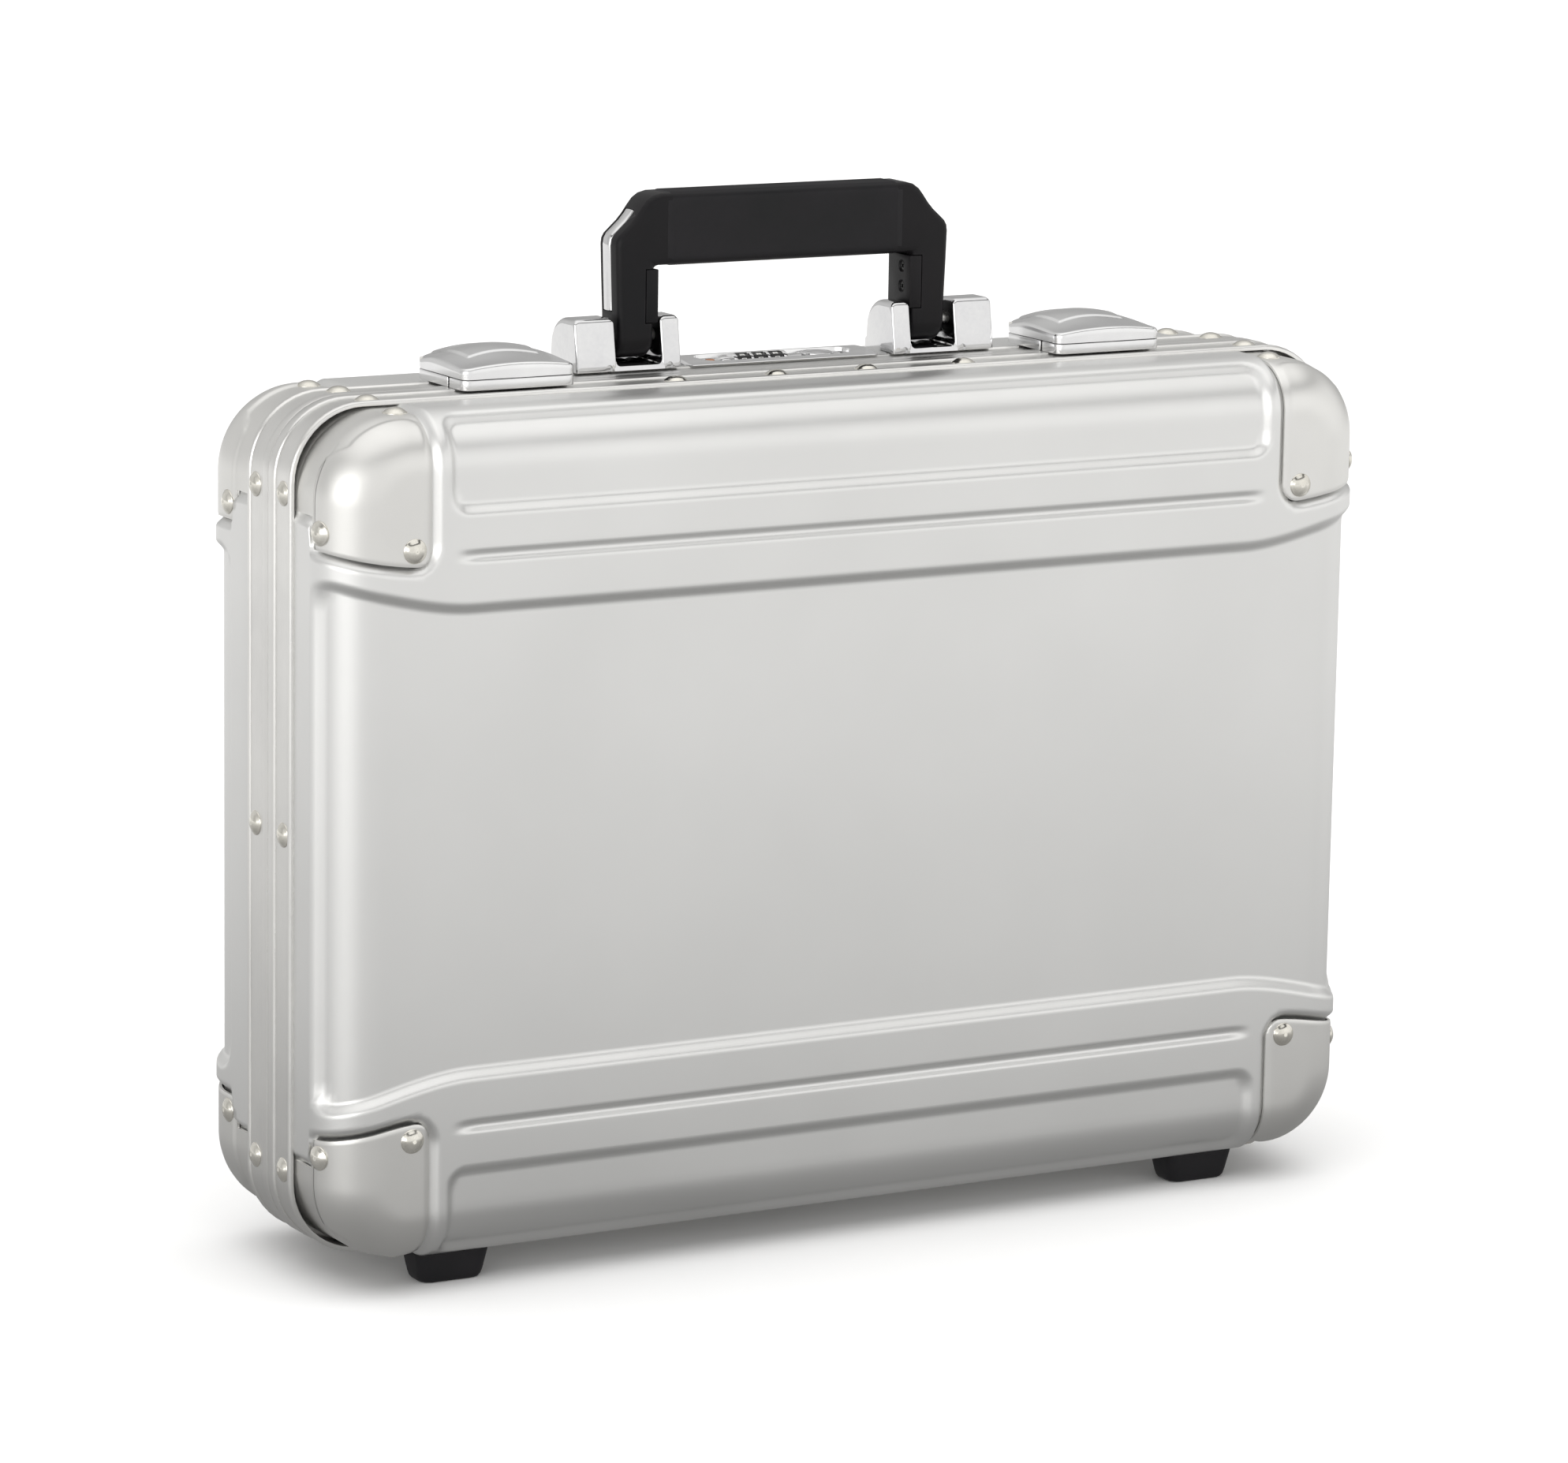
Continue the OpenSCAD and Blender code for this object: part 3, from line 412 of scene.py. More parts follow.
def sheet_lines_x(depth):
    rim = run_at_depth(6.0, depth)
    stops = [0, 140, 166, 174, 182.5, 188.5, 192.5, CORE_X, CORE_X + FACE_RUN,
             CORE_X + FACE_RUN + ARC_LEN, CORE_X + run_at_depth(SIDE_PRESS_D + 9, depth),
             CORE_X + run_at_depth(SIDE_PRESS_D - 2, depth), CORE_X + rim]
    steps = [8, 8, 3, 9, 7, 3, 1, 7, 12, 3, 12, 8]
    if stops[10] <= stops[9]:
        del stops[10], steps[9]
    return mirrored(spread(stops, steps))


def sheet_lines_z(depth):
    rim = run_at_depth(6.0, depth)
    arc_end = CORE_Z + FACE_RUN + ARC_LEN
    stops = [0, 78, 86, 92.5, 100, 112.5, 123.5, 130, CORE_Z + FACE_RUN, 150, 158, 168,
             arc_end, CORE_Z + rim]
    steps = [6, 2, 8, 7, 18, 8, 8, 4, 4, 5, 9, 3, 9]
    return mirrored(spread(stops, steps))


def build_shell(side):
    depth = DEPTH[side]
    us, vs = sheet_lines_x(depth), sheet_lines_z(depth)
    verts = []
    for v in vs:
        for u in us:
            level = shell_level(u, v, depth)
            verts.append(to_row(side, *sheet_point(u, v + line_shift(u, v), depth, level)))
    n = len(us)
    faces = [(j * n + i, j * n + i + 1, (j + 1) * n + i + 1, (j + 1) * n + i)
             for j in range(len(vs) - 1) for i in range(n - 1)]
    obj = make_object(side + "_shell_pressing", verts, faces)
    orient_outwards(obj, side)
    add_solidify(obj, 1.1)
    return obj


def orient_outwards(obj, side):
    """Turns an open sheet's faces away from the case's middle."""
    mesh = obj.data
    face = max(mesh.polygons, key=lambda p: SIGN[side] * p.center.y)
    if face.normal.y * SIGN[side] < 0:
        mesh.flip_normals()


def build_cap(side, name, sx, sz):
    """One corner cap: a drawn sheet over a corner, stepped down where the frame holds it."""
    depth = DEPTH[side]
    skirt = run_at_depth(FRAME_D + 0.4, depth)
    step_u = CORE_X + run_at_depth(SIDE_PRESS_D, depth)
    step_v = CORE_Z + run_at_depth(CAP_TOP_D, depth)
    us = spread([CAP_X, CAP_X + 4, CORE_X, CORE_X + FACE_RUN, CORE_X + FACE_RUN + ARC_LEN,
                 step_u - 1.7, step_u + 1.7, CORE_X + skirt], [5, 3, 6, 12, 2, 8, 8])
    vs = spread([CAP_Z, CAP_Z + 4, CAP_Z_FLANGE, CORE_Z, CORE_Z + FACE_RUN, step_v - 1.7,
                 step_v + 1.7, CORE_Z + skirt], [5, 7, 2, 6, 11, 6, 12])
    outer, inner = [], []
    for plain_v in vs:
        for u in us:
            low = cap_edge(u)
            squeeze = max(0.0, CAP_Z_FLANGE - plain_v) / (CAP_Z_FLANGE - CAP_Z)
            v = plain_v + squeeze * (low - CAP_Z)
            corner = rounded_edge(CAP_X - u, low - v, 7.0)
            border = rounded_edge(rounded_edge(u - step_u, v - step_v, 12.0),
                                  CAP_X + 1.5 - u, 6.0)
            raised = 1 - ramp(border, -1.5, 1.5)
            edge = 0.25 * (1 - ramp(min(u - CAP_X, v - low), 0, 1.2))
            level = CAP_FLANGE_LEVEL + (CAP_LEVEL - CAP_FLANGE_LEVEL) * raised - edge
            move = 0.65 * max(0.0, corner) if u < CAP_X + 7 else 0.0
            for layer, drop in ((outer, 0.0), (inner, CAP_SHEET)):
                point = sheet_point(u + move, v + move, depth, level - drop)
                layer.append(to_row(side, sx * point.x, point.y, sz * point.z))
    n = len(us)
    notch_i = next(i for i, u in enumerate(us) if u > step_u + 1.6)
    notch_j = next(j for j, v in enumerate(vs) if v > CAP_Z_FLANGE - 0.01)
    faces = [(j * n + i, j * n + i + 1, (j + 1) * n + i + 1, (j + 1) * n + i)
             for j in range(len(vs) - 1) for i in range(n - 1) if i < notch_i or j >= notch_j]
    return mark_sharp(closed_sheet(name + "_drawn", outer, inner, faces), 50)


def closed_sheet(name, outer, inner, faces):
    """Solid between two matching layers of points; the faces index either layer."""
    count = len(outer)
    edges = {(a, b) for face in faces for a, b in zip(face, face[1:] + face[:1])}
    rim = [(b, a, count + a, count + b) for a, b in edges if (b, a) not in edges]
    under = [tuple(count + i for i in reversed(face)) for face in faces]
    obj = make_object(name, outer + inner, faces + under + sorted(rim))
    bm = bmesh.new()
    bm.from_mesh(obj.data)
    bmesh.ops.delete(bm, geom=[v for v in bm.verts if not v.link_faces], context="VERTS")
    bm.to_mesh(obj.data)
    bm.free()
    return obj


# ---------------------------------------------------------------- frames

FRAME_R = 30.0
RIM_W = 9.0
RIM_T = 5.0
FRAME_FACE = 0.8
HINGE_HALF = 180.0
SEAL_END_Z = -120.0


def outline_station(t, inset):
    """Point on the case outline at an inset; t counts quarter turns plus the way along a side."""
    corner, share = int(t // 2) % 4, t % 2
    angle = math.pi / 2 * (corner + min(share, 1.0))
    cx = (HALF_W - FRAME_R) * (1 if corner in (0, 3) else -1)
    cz = (HALF_H - FRAME_R) * (1 if corner in (0, 1) else -1)
    r = FRAME_R - inset
    x, z = cx + r * math.cos(angle), cz + r * math.sin(angle)
    if share > 1:
        nxt = (corner + 1) % 4
        nx = (HALF_W - FRAME_R) * (1 if nxt in (0, 3) else -1) + r * math.cos(angle)
        nz = (HALF_H - FRAME_R) * (1 if nxt in (0, 1) else -1) + r * math.sin(angle)
        x, z = x + (nx - x) * (share - 1), z + (nz - z) * (share - 1)
    return x, z


def frame_section(side, relieved, seal):
    """Section of a frame as (inset, depth) points, from the seam's outer edge inwards."""
    face = FRAME_FACE
    outer = [(0.5, 0.0), (0.12, 0.15), (0.0, 0.5), (0.0, 4.6), (0.1, 5.1), (0.45, 5.45),
             (face - 0.1, 5.6), (face, 5.9), (face, 6.3), (face, 16.7), (0.35, 17.1), (0.15, 17.5),
             (0.1, 18.0), (0.2, 18.6), (0.6, 19.3), (1.0, 19.5)]
    inner = [(2.0, 19.5), (2.2, 19.2), (2.2, RIM_T), (RIM_W - 0.3, RIM_T), (RIM_W, RIM_T - 0.3),
             (RIM_W, 0.3), (RIM_W - 0.3, 0.0)]
    reach = (-2.2 if side == "lid" else 3.5) * seal
    spread_out = 0.0 if side == "lid" else 0.3
    seam = [(6.5 + spread_out, 0.0), (6.5 + spread_out, reach), (5.0 - spread_out, reach),
            (5.0 - spread_out, 0.0)]
    points = outer + inner + seam
    if relieved:
        points = [(u, max(d, 1.3)) if d < 4.6 else (u, d) for u, d in points]
        points = [(max(u, 2.7), d) if d < 2.4 and u < 3 else (u, d) for u, d in points]
    return points


def build_frame(side):
    """Swept extrusion of one frame, relieved along the hinge and with the seal's edge."""
    relief = (HINGE_HALF + 1) / (HALF_W - FRAME_R)
    bottom = 5.0
    relief_start = bottom + (1 - relief) / 2
    relief_end = bottom + (1 + relief) / 2
    seal_drop = (HALF_H - FRAME_R + SEAL_END_Z) / (2 * (HALF_H - FRAME_R))
    seal_start, seal_end = 4 - seal_drop, 7 + seal_drop
    stops = [k + i / 12 for k in (0, 2, 4, 6) for i in range(13)]
    stops += [relief_start, relief_start + 0.002, relief_end - 0.002, relief_end]
    stops += [seal_start - 0.003, seal_start, seal_end, seal_end + 0.003, 1.5, 3.5, 5.5, 7.5]
    rings = []
    for t in sorted(set(stops)):
        relieved = relief_start + 0.001 < t < relief_end - 0.001
        seal = 0.0 if seal_start - 0.001 <= t <= seal_end + 0.001 else 1.0
        ring = []
        for inset, d in frame_section(side, relieved, seal):
            x, z = outline_station(t, inset)
            ring.append(to_row(side, x, d, z))
        rings.append(ring)
    count = len(rings[0])
    verts = [p for ring in rings for p in ring]
    faces = ring_faces(len(rings), count, False)
    last = (len(rings) - 1) * count
    for i in range(count):
        k = (i + 1) % count
        faces.append((last + i, last + k, k, i))
    obj = make_object(side + "_frame_extrusion", verts, faces)
    return mark_sharp(obj, 40)


def mark_sharp(obj, degrees):
    """Shades smooth but keeps edges sharper than the angle hard."""
    obj.data.set_sharp_from_angle(angle=math.radians(degrees))
    return obj


# ---------------------------------------------------------------- rivets and feet

RIVET_PROFILE = [(0.0, -0.6), (4.75, -0.6), (4.8, 0.0), (4.72, 0.22), (4.45, 0.42), (4.1, 0.62),
                 (3.5, 1.12), (2.8, 1.52), (2.0, 1.82), (1.0, 2.02), (0.0, 2.08)]
FRAME_RIVET_D = 12.4
SIDE_RIVET_Z = (-130.0, 0.0, 130.0)
END_RIVET_X = 195.0
TOP_ROW = {"lid": (20.0, 64.0, END_RIVET_X), "base": (END_RIVET_X,)}
BOTTOM_ROW = (64.0, END_RIVET_X)
CAP_FACE_RIVET = (195.5, 112.5)
CAP_SIDE_RIVET_Z = 119.0
CAP_SIDE_RIVET_D = 40.3
CAP_TOP_RIVET_X = 193.3


def rivet(centre, axis):
    return lathe("rivet", RIVET_PROFILE, centre, axis, 28)


def build_frame_rivets(side):
    sink = FRAME_FACE
    rivets = []
    for sx in (-1, 1):
        for z in SIDE_RIVET_Z:
            place = to_row(side, sx * (HALF_W - sink), FRAME_RIVET_D, z)
            rivets.append(rivet(place, (sx, 0, 0)))
        for sz, places in ((1, TOP_ROW[side]), (-1, BOTTOM_ROW)):
            for x in places:
                place = to_row(side, sx * x, FRAME_RIVET_D, sz * (HALF_H - sink))
                rivets.append(rivet(place, (0, 0, sz)))
    return group(side + "_frame_rivet_heads", rivets)


def build_cap_rivets(side):
    depth = DEPTH[side]
    top_d = depth - EDGE_R - 2
    tilt = math.asin(max(0.0, CAP_SIDE_RIVET_D - depth + EDGE_R) / EDGE_R)
    wall_x = SHELL_X - EDGE_R * (1 - math.cos(tilt)) + CAP_LEVEL
    rivets = []
    for sx in (-1, 1):
        for sz in (-1, 1):
            face = to_row(side, sx * CAP_FACE_RIVET[0], depth + CAP_LEVEL, sz * CAP_FACE_RIVET[1])
            wall = to_row(side, sx * wall_x, CAP_SIDE_RIVET_D, sz * CAP_SIDE_RIVET_Z)
            top_z = SHELL_Z + CAP_FLANGE_LEVEL
            top = to_row(side, sx * CAP_TOP_RIVET_X, top_d, sz * top_z)
            rivets.append(rivet(face, (0, SIGN[side], 0)))
            rivets.append(rivet(wall, (sx * math.cos(tilt), SIGN[side] * math.sin(tilt), 0)))
            rivets.append(rivet(top, (0, 0, sz)))
    return group(side + "_cap_rivet_heads", rivets)


def build_feet(side):
    low, high = node_mm(side + "_feet")
    y = mean(low.y, high.y) * MM
    top, bottom = -SHELL_Z - 0.1, -MID_Z
    half_w, half_l = (high.x - (high.x + low.x) / 2), (high.y - low.y) / 2
    foot_x = high.x - 15.0
    rings = []
    levels = [(top, 15.4, half_l, 4.0), (top - 2.0, 15.2, half_l - 0.1, 4.2),
              (bottom + 3.2, 13.9, half_l - 1.2, 5.0), (bottom + 1.4, 13.4, half_l - 1.7, 5.0),
              (bottom + 0.4, 12.6, half_l - 2.4, 4.6), (bottom, 11.4, half_l - 3.4, 4.0)]
    for z, a, b, r in levels:
        rings.append([(px, py, z) for px, py in rounded_rect(a, b, r, 6)])
    count = len(rings[0])
    for r, z in ((4.0, bottom), (3.5, bottom + 0.4), (3.4, bottom + 5.5)):
        ring = []
        for px, py, _ in rings[5]:
            a = math.atan2(py, px)
            ring.append((r * math.cos(a), r * math.sin(a), z))
        rings.append(ring)
    feet = []
    for sx in (-1, 1):
        world = [[Vector(((sx * foot_x + px) * MM, y + py * MM, (MID_Z + z) * MM))
                  for px, py, z in ring] for ring in rings]
        feet.append(loft("foot", world))
    return group(side + "_rubber_feet", feet)


# ---------------------------------------------------------------- handle

PIVOT_Y = 26.0
PIVOT_Z = 176.0
LEG_HALF_D = 8.5
LEG_IN = 57.6
GRIP_HALF = 50.0
GRIP_BOTTOM = 203.5
HANDLE_TOP = 231.5
COVER_Z = (181.5, 202.2)
SCREW_Z = (189.6, 197.6)
TRIM_Y = (24.4, 31.0)
TRIM_BOTTOM = 186.0
SHOULDER = [(72.9, 184.0), (73.5, 199.0), (73.9, 211.5), (73.6, 213.8), (72.6, 215.6),
            (70.2, 217.8), (67.4, 220.3), (65.0, 223.0), (62.7, 226.2), (60.6, 228.8),
            (58.0, 230.6), (54.5, 231.5)]


def polygon_prism(name, outline, y0, y1):
    """Prism of an (x, z) outline through the case's depth."""
    rings = [[row(x, y, z) for x, z in outline] for y in (y0, y1)]
    return loft(name, rings)


def build_handle_body():
    """Frame of the handle: two legs, sloping shoulders and the crossbar behind the grip."""
    right = [(72.6, PIVOT_Z - 8.5)] + SHOULDER
    left = [(-x, z) for x, z in reversed(right)]
    inner = [(-LEG_IN, PIVOT_Z - 8.5), (-LEG_IN, GRIP_BOTTOM), (-GRIP_HALF + 2, GRIP_BOTTOM),
             (GRIP_HALF - 2, GRIP_BOTTOM), (LEG_IN, GRIP_BOTTOM), (LEG_IN, PIVOT_Z - 8.5)]
    body = polygon_prism("handle_frame", right + left + inner, PIVOT_Y - LEG_HALF_D,
                         PIVOT_Y + LEG_HALF_D)
    for sx in (-1, 1):
        knuckle = [(LEG_IN - 1, PIVOT_Z - 10), (75, PIVOT_Z - 10)]
        rounder = leg_end_cutter(sx, knuckle[0][0], knuckle[1][0])
        cut(body, rounder)
    add_bevel(body, 2.6, 5, 50)
    apply_modifiers(body)
    for sx in (-1, 1):
        cut(body, trim_strip(sx, 0.35, 1.1, "trim_groove"))
        low, high = sorted((sx * (LEG_IN - 2), sx * (LEG_IN + 4.2)))
        recess = block("cover_recess", (low, PIVOT_Y - 9.5, COVER_Z[0] - 0.3),
                       (high, PIVOT_Y + 9.5, COVER_Z[1] + 0.3))
        cut(body, recess)
    mark_sharp(body, 35)
    return body


def leg_end_cutter(sx, x0, x1):
    """What is left of the leg's square end outside the round about the pivot."""
    arc = arc_points(PIVOT_Y, PIVOT_Z, LEG_HALF_D, 180, 360, 20)
    outline = [(PIVOT_Y - 12, PIVOT_Z)] + arc + [(PIVOT_Y + 12, PIVOT_Z),
                                                 (PIVOT_Y + 12, PIVOT_Z - 14),
                                                 (PIVOT_Y - 12, PIVOT_Z - 14)]
    low, high = sorted((sx * x0, sx * x1))
    return extrude_x("leg_end", outline, low, high)


def trim_path():
    """Points up the outside of the leg and over the shoulder where the bright strip lies."""
    lower = [(73.0, TRIM_BOTTOM)] + SHOULDER[1:8]
    end_x, end_z = SHOULDER[8]
    return lower + [((end_x + SHOULDER[7][0]) / 2, (end_z + SHOULDER[7][1]) / 2)]


def trim_strip(sx, grow, depth, name):
    """Bar that follows the shoulder, set a little into it and crowned across its width."""
    path = trim_path()
    rings = []
    for i, (x, z) in enumerate(path):
        before, after = path[max(i - 1, 0)], path[min(i + 1, len(path) - 1)]
        dx, dz = after[0] - before[0], after[1] - before[1]
        length = math.hypot(dx, dz)
        nx, nz = dz / length, -dx / length
        along = -grow if i == 0 else (grow if i == len(path) - 1 else 0)
        x, z = x + dx / length * along, z + dz / length * along
        y0, y1 = TRIM_Y[0] - grow, TRIM_Y[1] + grow
        lift = 0.0 if grow else 0.15
        crown = [(y0, lift - 0.45), (y0 + 0.35, lift), (y0 + 1.6, lift + 0.4),
                 (y0 + 3.0, lift + 0.6), (y1 - 1.6, lift + 0.4), (y1 - 0.35, lift),
                 (y1, lift - 0.45), (y1, -depth), (y0, -depth)]
        if grow:
            crown = [(y0, 2.0), (y1, 2.0), (y1, -depth), (y0, -depth)]
        rings.append([row(sx * (x + nx * h), y, z + nz * h) for y, h in crown])
    return loft(name, rings)


def build_trim(sx, name):
    strip = trim_strip(sx, 0.0, 0.95, name)
    add_bevel(strip, 0.2, 2, 50)
    return mark_sharp(strip, 45)


def grip_section():
    """Rounded section of the grip in (y, z)."""
    points = rounded_rect(LEG_HALF_D + 0.1, (HANDLE_TOP - GRIP_BOTTOM) / 2 + 0.1, 3.6, 7)
    middle = (HANDLE_TOP + GRIP_BOTTOM) / 2
    return [(PIVOT_Y + y, middle + z) for y, z in points]


def build_grip():
    """Sleeve of the grip: knurled between two smooth ends that blend into the shoulders."""
    half = GRIP_HALF + 2.6
    knurled = half - 2.1
    pitch = 0.5
    rows_x = int(2 * knurled / pitch)
    xs = [-half, -half + 0.5, -knurled] + [-knurled + pitch * (i + 1) for i in range(rows_x)]
    xs += [half - 0.5, half]
    section = dense_section(grip_section(), 0.5)
    rings = []
    for i, x in enumerate(xs):
        ends = 0.3 if i in (0, len(xs) - 1) else 0.0
        ring = []
        for j, (y, z, ny, nz) in enumerate(section):
            in_knurl = abs(x) < knurled - 0.1
            h = (0.3 if (i + j) % 2 == 0 else 0.1) * in_knurl - ends
            ring.append(row(x, y + ny * h, z + nz * h))
        rings.append(ring)
    return loft("handle_grip_sleeve", rings)


def dense_section(points, pitch):
    """Even points round a closed outline, each with its outward normal."""
    lengths = [0.0]
    n = len(points)
    for i in range(n):
        a, b = points[i], points[(i + 1) % n]
        lengths.append(lengths[-1] + math.hypot(b[0] - a[0], b[1] - a[1]))
    count = 2 * round(lengths[-1] / pitch / 2)
    out = []
    k = 0
    for i in range(count):
        at = lengths[-1] * i / count
        while lengths[k + 1] < at:
            k += 1
        a, b = points[k % n], points[(k + 1) % n]
        step = lengths[k + 1] - lengths[k]
        share = (at - lengths[k]) / step
        dy, dz = (b[0] - a[0]) / step, (b[1] - a[1]) / step
        out.append((a[0] + (b[0] - a[0]) * share, a[1] + (b[1] - a[1]) * share, dz, -dy))
    return out


def build_covers():
    covers = []
    for sx in (-1, 1):
        low, high = sorted((sx * (LEG_IN - 1.4), sx * (LEG_IN + 3.9)))
        cover = block("cover", (low, PIVOT_Y - LEG_HALF_D - 0.15, COVER_Z[0]),
                      (high, PIVOT_Y + LEG_HALF_D + 0.15, COVER_Z[1]))
        for z in SCREW_Z:
            place_at = row(sx * (LEG_IN - 2.4), PIVOT_Y - 2.0, z)
            dish = lathe("dish", [(2.6, 0), (2.6, 1.0), (1.4, 2.3), (1.4, 4.5)], place_at,
                         (sx, 0, 0), 24)
            cut(cover, dish)
        add_bevel(cover, 0.35, 2, 50)
        covers.append(cover)
    for cover in covers:
        apply_modifiers(cover)
    return mark_sharp(group("handle_leg_covers", covers), 40)


def cross_recess(centre, axis, size, depth):
    """Cutter in the shape of a crosshead driver, pointing down into a screw head."""
    axis = Vector(axis).normalized()
    side = axis.orthogonal().normalized()
    other = axis.cross(side)
    cutters = []
    for first, second in ((side, other), (other, side)):
        rings = []
        for h, reach in ((depth, size * 0.45), (-1.0, size)):
            corners = [(-1, -1), (1, -1), (1, 1), (-1, 1)]
            rings.append([centre + (first * a * reach + second * b * size * 0.22
                                    - axis * h) * MM for a, b in corners])
        cutters.append(loft("cross", rings))
    return cutters


def build_cover_screws():
    screws = []
    for sx in (-1, 1):
        for z in SCREW_Z:
            base = row(sx * (LEG_IN - 0.2), PIVOT_Y - 2.0, z)
            profile = [(0, -1.2), (1.3, -1.2), (2.3, 0.1), (2.35, 0.35), (2.1, 0.6), (1.2, 0.75),
                       (0, 0.8)]
            head = lathe("screw", profile, base, (-sx, 0, 0), 24)
            top = base + Vector((-sx, 0, 0)) * 0.8 * MM
            cut(head, *cross_recess(top, (-sx, 0, 0), 1.4, 0.9))
            screws.append(head)
    return mark_sharp(group("handle_cover_screw_heads", screws), 40)


# ---------------------------------------------------------------- handle brackets

BRACKET_X = (47.6, 93.2)
SLOT_X = (55.8, 75.8)
SLOT_BOTTOM = 166.0
SLOT_BACK = 35.1
BRACKET_TOP = 184.3


def bracket_profile():
    """Side view (y, z): a leaning front, a flat brow, and a back that falls to a small foot."""
    brow = arc_points(18.6, BRACKET_TOP - 2.2, 2.2, 172, 90, 6)
    back = arc_points(25.5, BRACKET_TOP - 10.8, 10.8, 84, 8, 12)
    foot = [(36.6, 170.6), (37.0, 168.8), (37.9, 167.6)]
    front = [(14.0, HALF_H + 0.02), (14.0, HALF_H + 2), (14.3, 169.0), (14.75, 172.0),
             (15.35, 175.5), (15.9, 179.0)]
    return front + brow + back + foot + [(38.0, SHELL_Z)]


def bracket_lobe(name, x0, x1):
    """One lobe: the side profile swept across, its upper edges rounded more than its front."""
    path = bracket_profile()
    ends = [0, 0.03, 0.12, 0.3, 0.55, 0.9, 1.3, 1.8, 2.4]
    stations = [(x0 + e, e) for e in ends] + [(x1 - e, e) for e in reversed(ends)]
    rings = []
    for x, e in stations:
        ring = []
        for i, (y, z) in enumerate(path):
            before, after = path[max(i - 1, 0)], path[min(i + 1, len(path) - 1)]
            dy, dz = after[0] - before[0], after[1] - before[1]
            length = math.hypot(dy, dz)
            ny, nz = -dz / length, dy / length
            r = 0.8 + 1.6 * max(0.0, nz)
            inset = r - math.sqrt(max(0.0, r * r - max(0.0, r - e) ** 2))
            end = i in (0, len(path) - 1)
            ring.append(row(x, y - ny * inset, z - (0 if end else nz * inset)))
        rings.append(ring + [row(x, 20.0, SHELL_Z), row(x, 20.0, HALF_H + 0.02)])
    return loft(name, rings)


def slot_floor(name, x0, x1):
    """Low lip across the slot's front, filleted into the lobes at both ends."""
    r = 2.0
    outline = [(x0 - 1, SHELL_Z), (x0 - 1, SLOT_BOTTOM + r), (x0, SLOT_BOTTOM + r)]
    outline += arc_points(x0 + r, SLOT_BOTTOM + r, r, 180, 270, 6)[1:]
    outline += arc_points(x1 - r, SLOT_BOTTOM + r, r, 270, 360, 6)
    outline += [(x1 + 1, SLOT_BOTTOM + r), (x1 + 1, SHELL_Z)]
    rings = []
    for y, drop in ((14.0, 0.9), (14.2, 0.35), (14.7, 0.0), (SLOT_BACK, 0.0)):
        ring = []
        for x, z in outline:
            low = HALF_H + 0.02 if y < 20 else SHELL_Z
            ring.append(row(x, y + (z - HALF_H) * 0.1 * (y < 20), max(z - drop, low)))
        rings.append(ring)
    return loft(name, rings)


def build_bracket(sx, name):
    """Chromed hood: two lobes, the lip between them and a thin wall behind the slot."""
    inner, left, right, outer = [sx * x for x in BRACKET_X[:1] + SLOT_X + BRACKET_X[1:]]
    lobes = []
    for a, b in (sorted((inner, left)), sorted((right, outer))):
        lobe = bracket_lobe("lobe", a, b)
        near = b if abs(b - left) < 1 or abs(b - right) < 1 else a
        notch_x = near + 3.2 * (1 if near == a else -1)
        notch = lathe("notch", [(0, 0), (1.4, 0), (1.4, 2.2), (0, 2.2)],
                      row(notch_x, 12.6, HALF_H + 1.2), (0, 1, 0), 20)
        lobes.append(cut(lobe, notch))
    floor = slot_floor("lip", *sorted((left, right)))
    wall_top = 177.0
    section = [(SLOT_BACK, SHELL_Z), (SLOT_BACK, wall_top), (35.5, wall_top + 0.25),
               (35.8, wall_top - 1), (36.1, 173.5), (36.4, 171), (36.8, 168.8), (37.7, 167.4),
               (37.8, SHELL_Z)]
    wall = extrude_x("slot_wall", section, *sorted((left - sx, right + sx)))
    return mark_sharp(group(name + "_hood", lobes + [floor, wall]), 35)


# ---------------------------------------------------------------- latches

LATCH_X = 131.0
LATCH_HALF = 24.0
LATCH_FRONT = -13.0
LATCH_BACK = 28.2
STRIKE_END = -0.6
BASE_START = 1.0
BASE_STEP = 4.0
LEVER_GAP = 0.3
LEVER_BOTTOM = HALF_H + BASE_STEP + LEVER_GAP
LATCH_R = 4.0
PIN_Y = 25.0


def lever_top(x, y):
    """Height of the lever's upper face: crowned both ways, with a raised middle panel."""
    across = (x / LATCH_HALF) ** 2
    climb = ramp(y, LATCH_FRONT, 14.0)
    top = 174.0 + 3.4 * climb - 1.9 * across - 2.2 * across * climb
    top -= 1.7 * ramp(y, 15.0, LATCH_BACK)
    front_line = 0.6 + 3.0 * (1 - (x / 17.0) ** 2)
    side_line = 15.0 + 2.6 * ramp(y, 0, LATCH_BACK)
    inside = min(ramp(y, front_line - 0.35, front_line + 0.35),
                 ramp(-abs(x), -side_line - 0.35, -side_line + 0.35))
    return top + 0.55 * inside


def pad_outline(count_corner=6):
    """Plan of the lever about its own middle: rounded corners, clockwise from the front left."""
    mid_y = (LATCH_FRONT + LATCH_BACK) / 2
    half_y = (LATCH_BACK - LATCH_FRONT) / 2
    return [(x, mid_y + y) for x, y in rounded_rect(LATCH_HALF, half_y, LATCH_R, count_corner)]


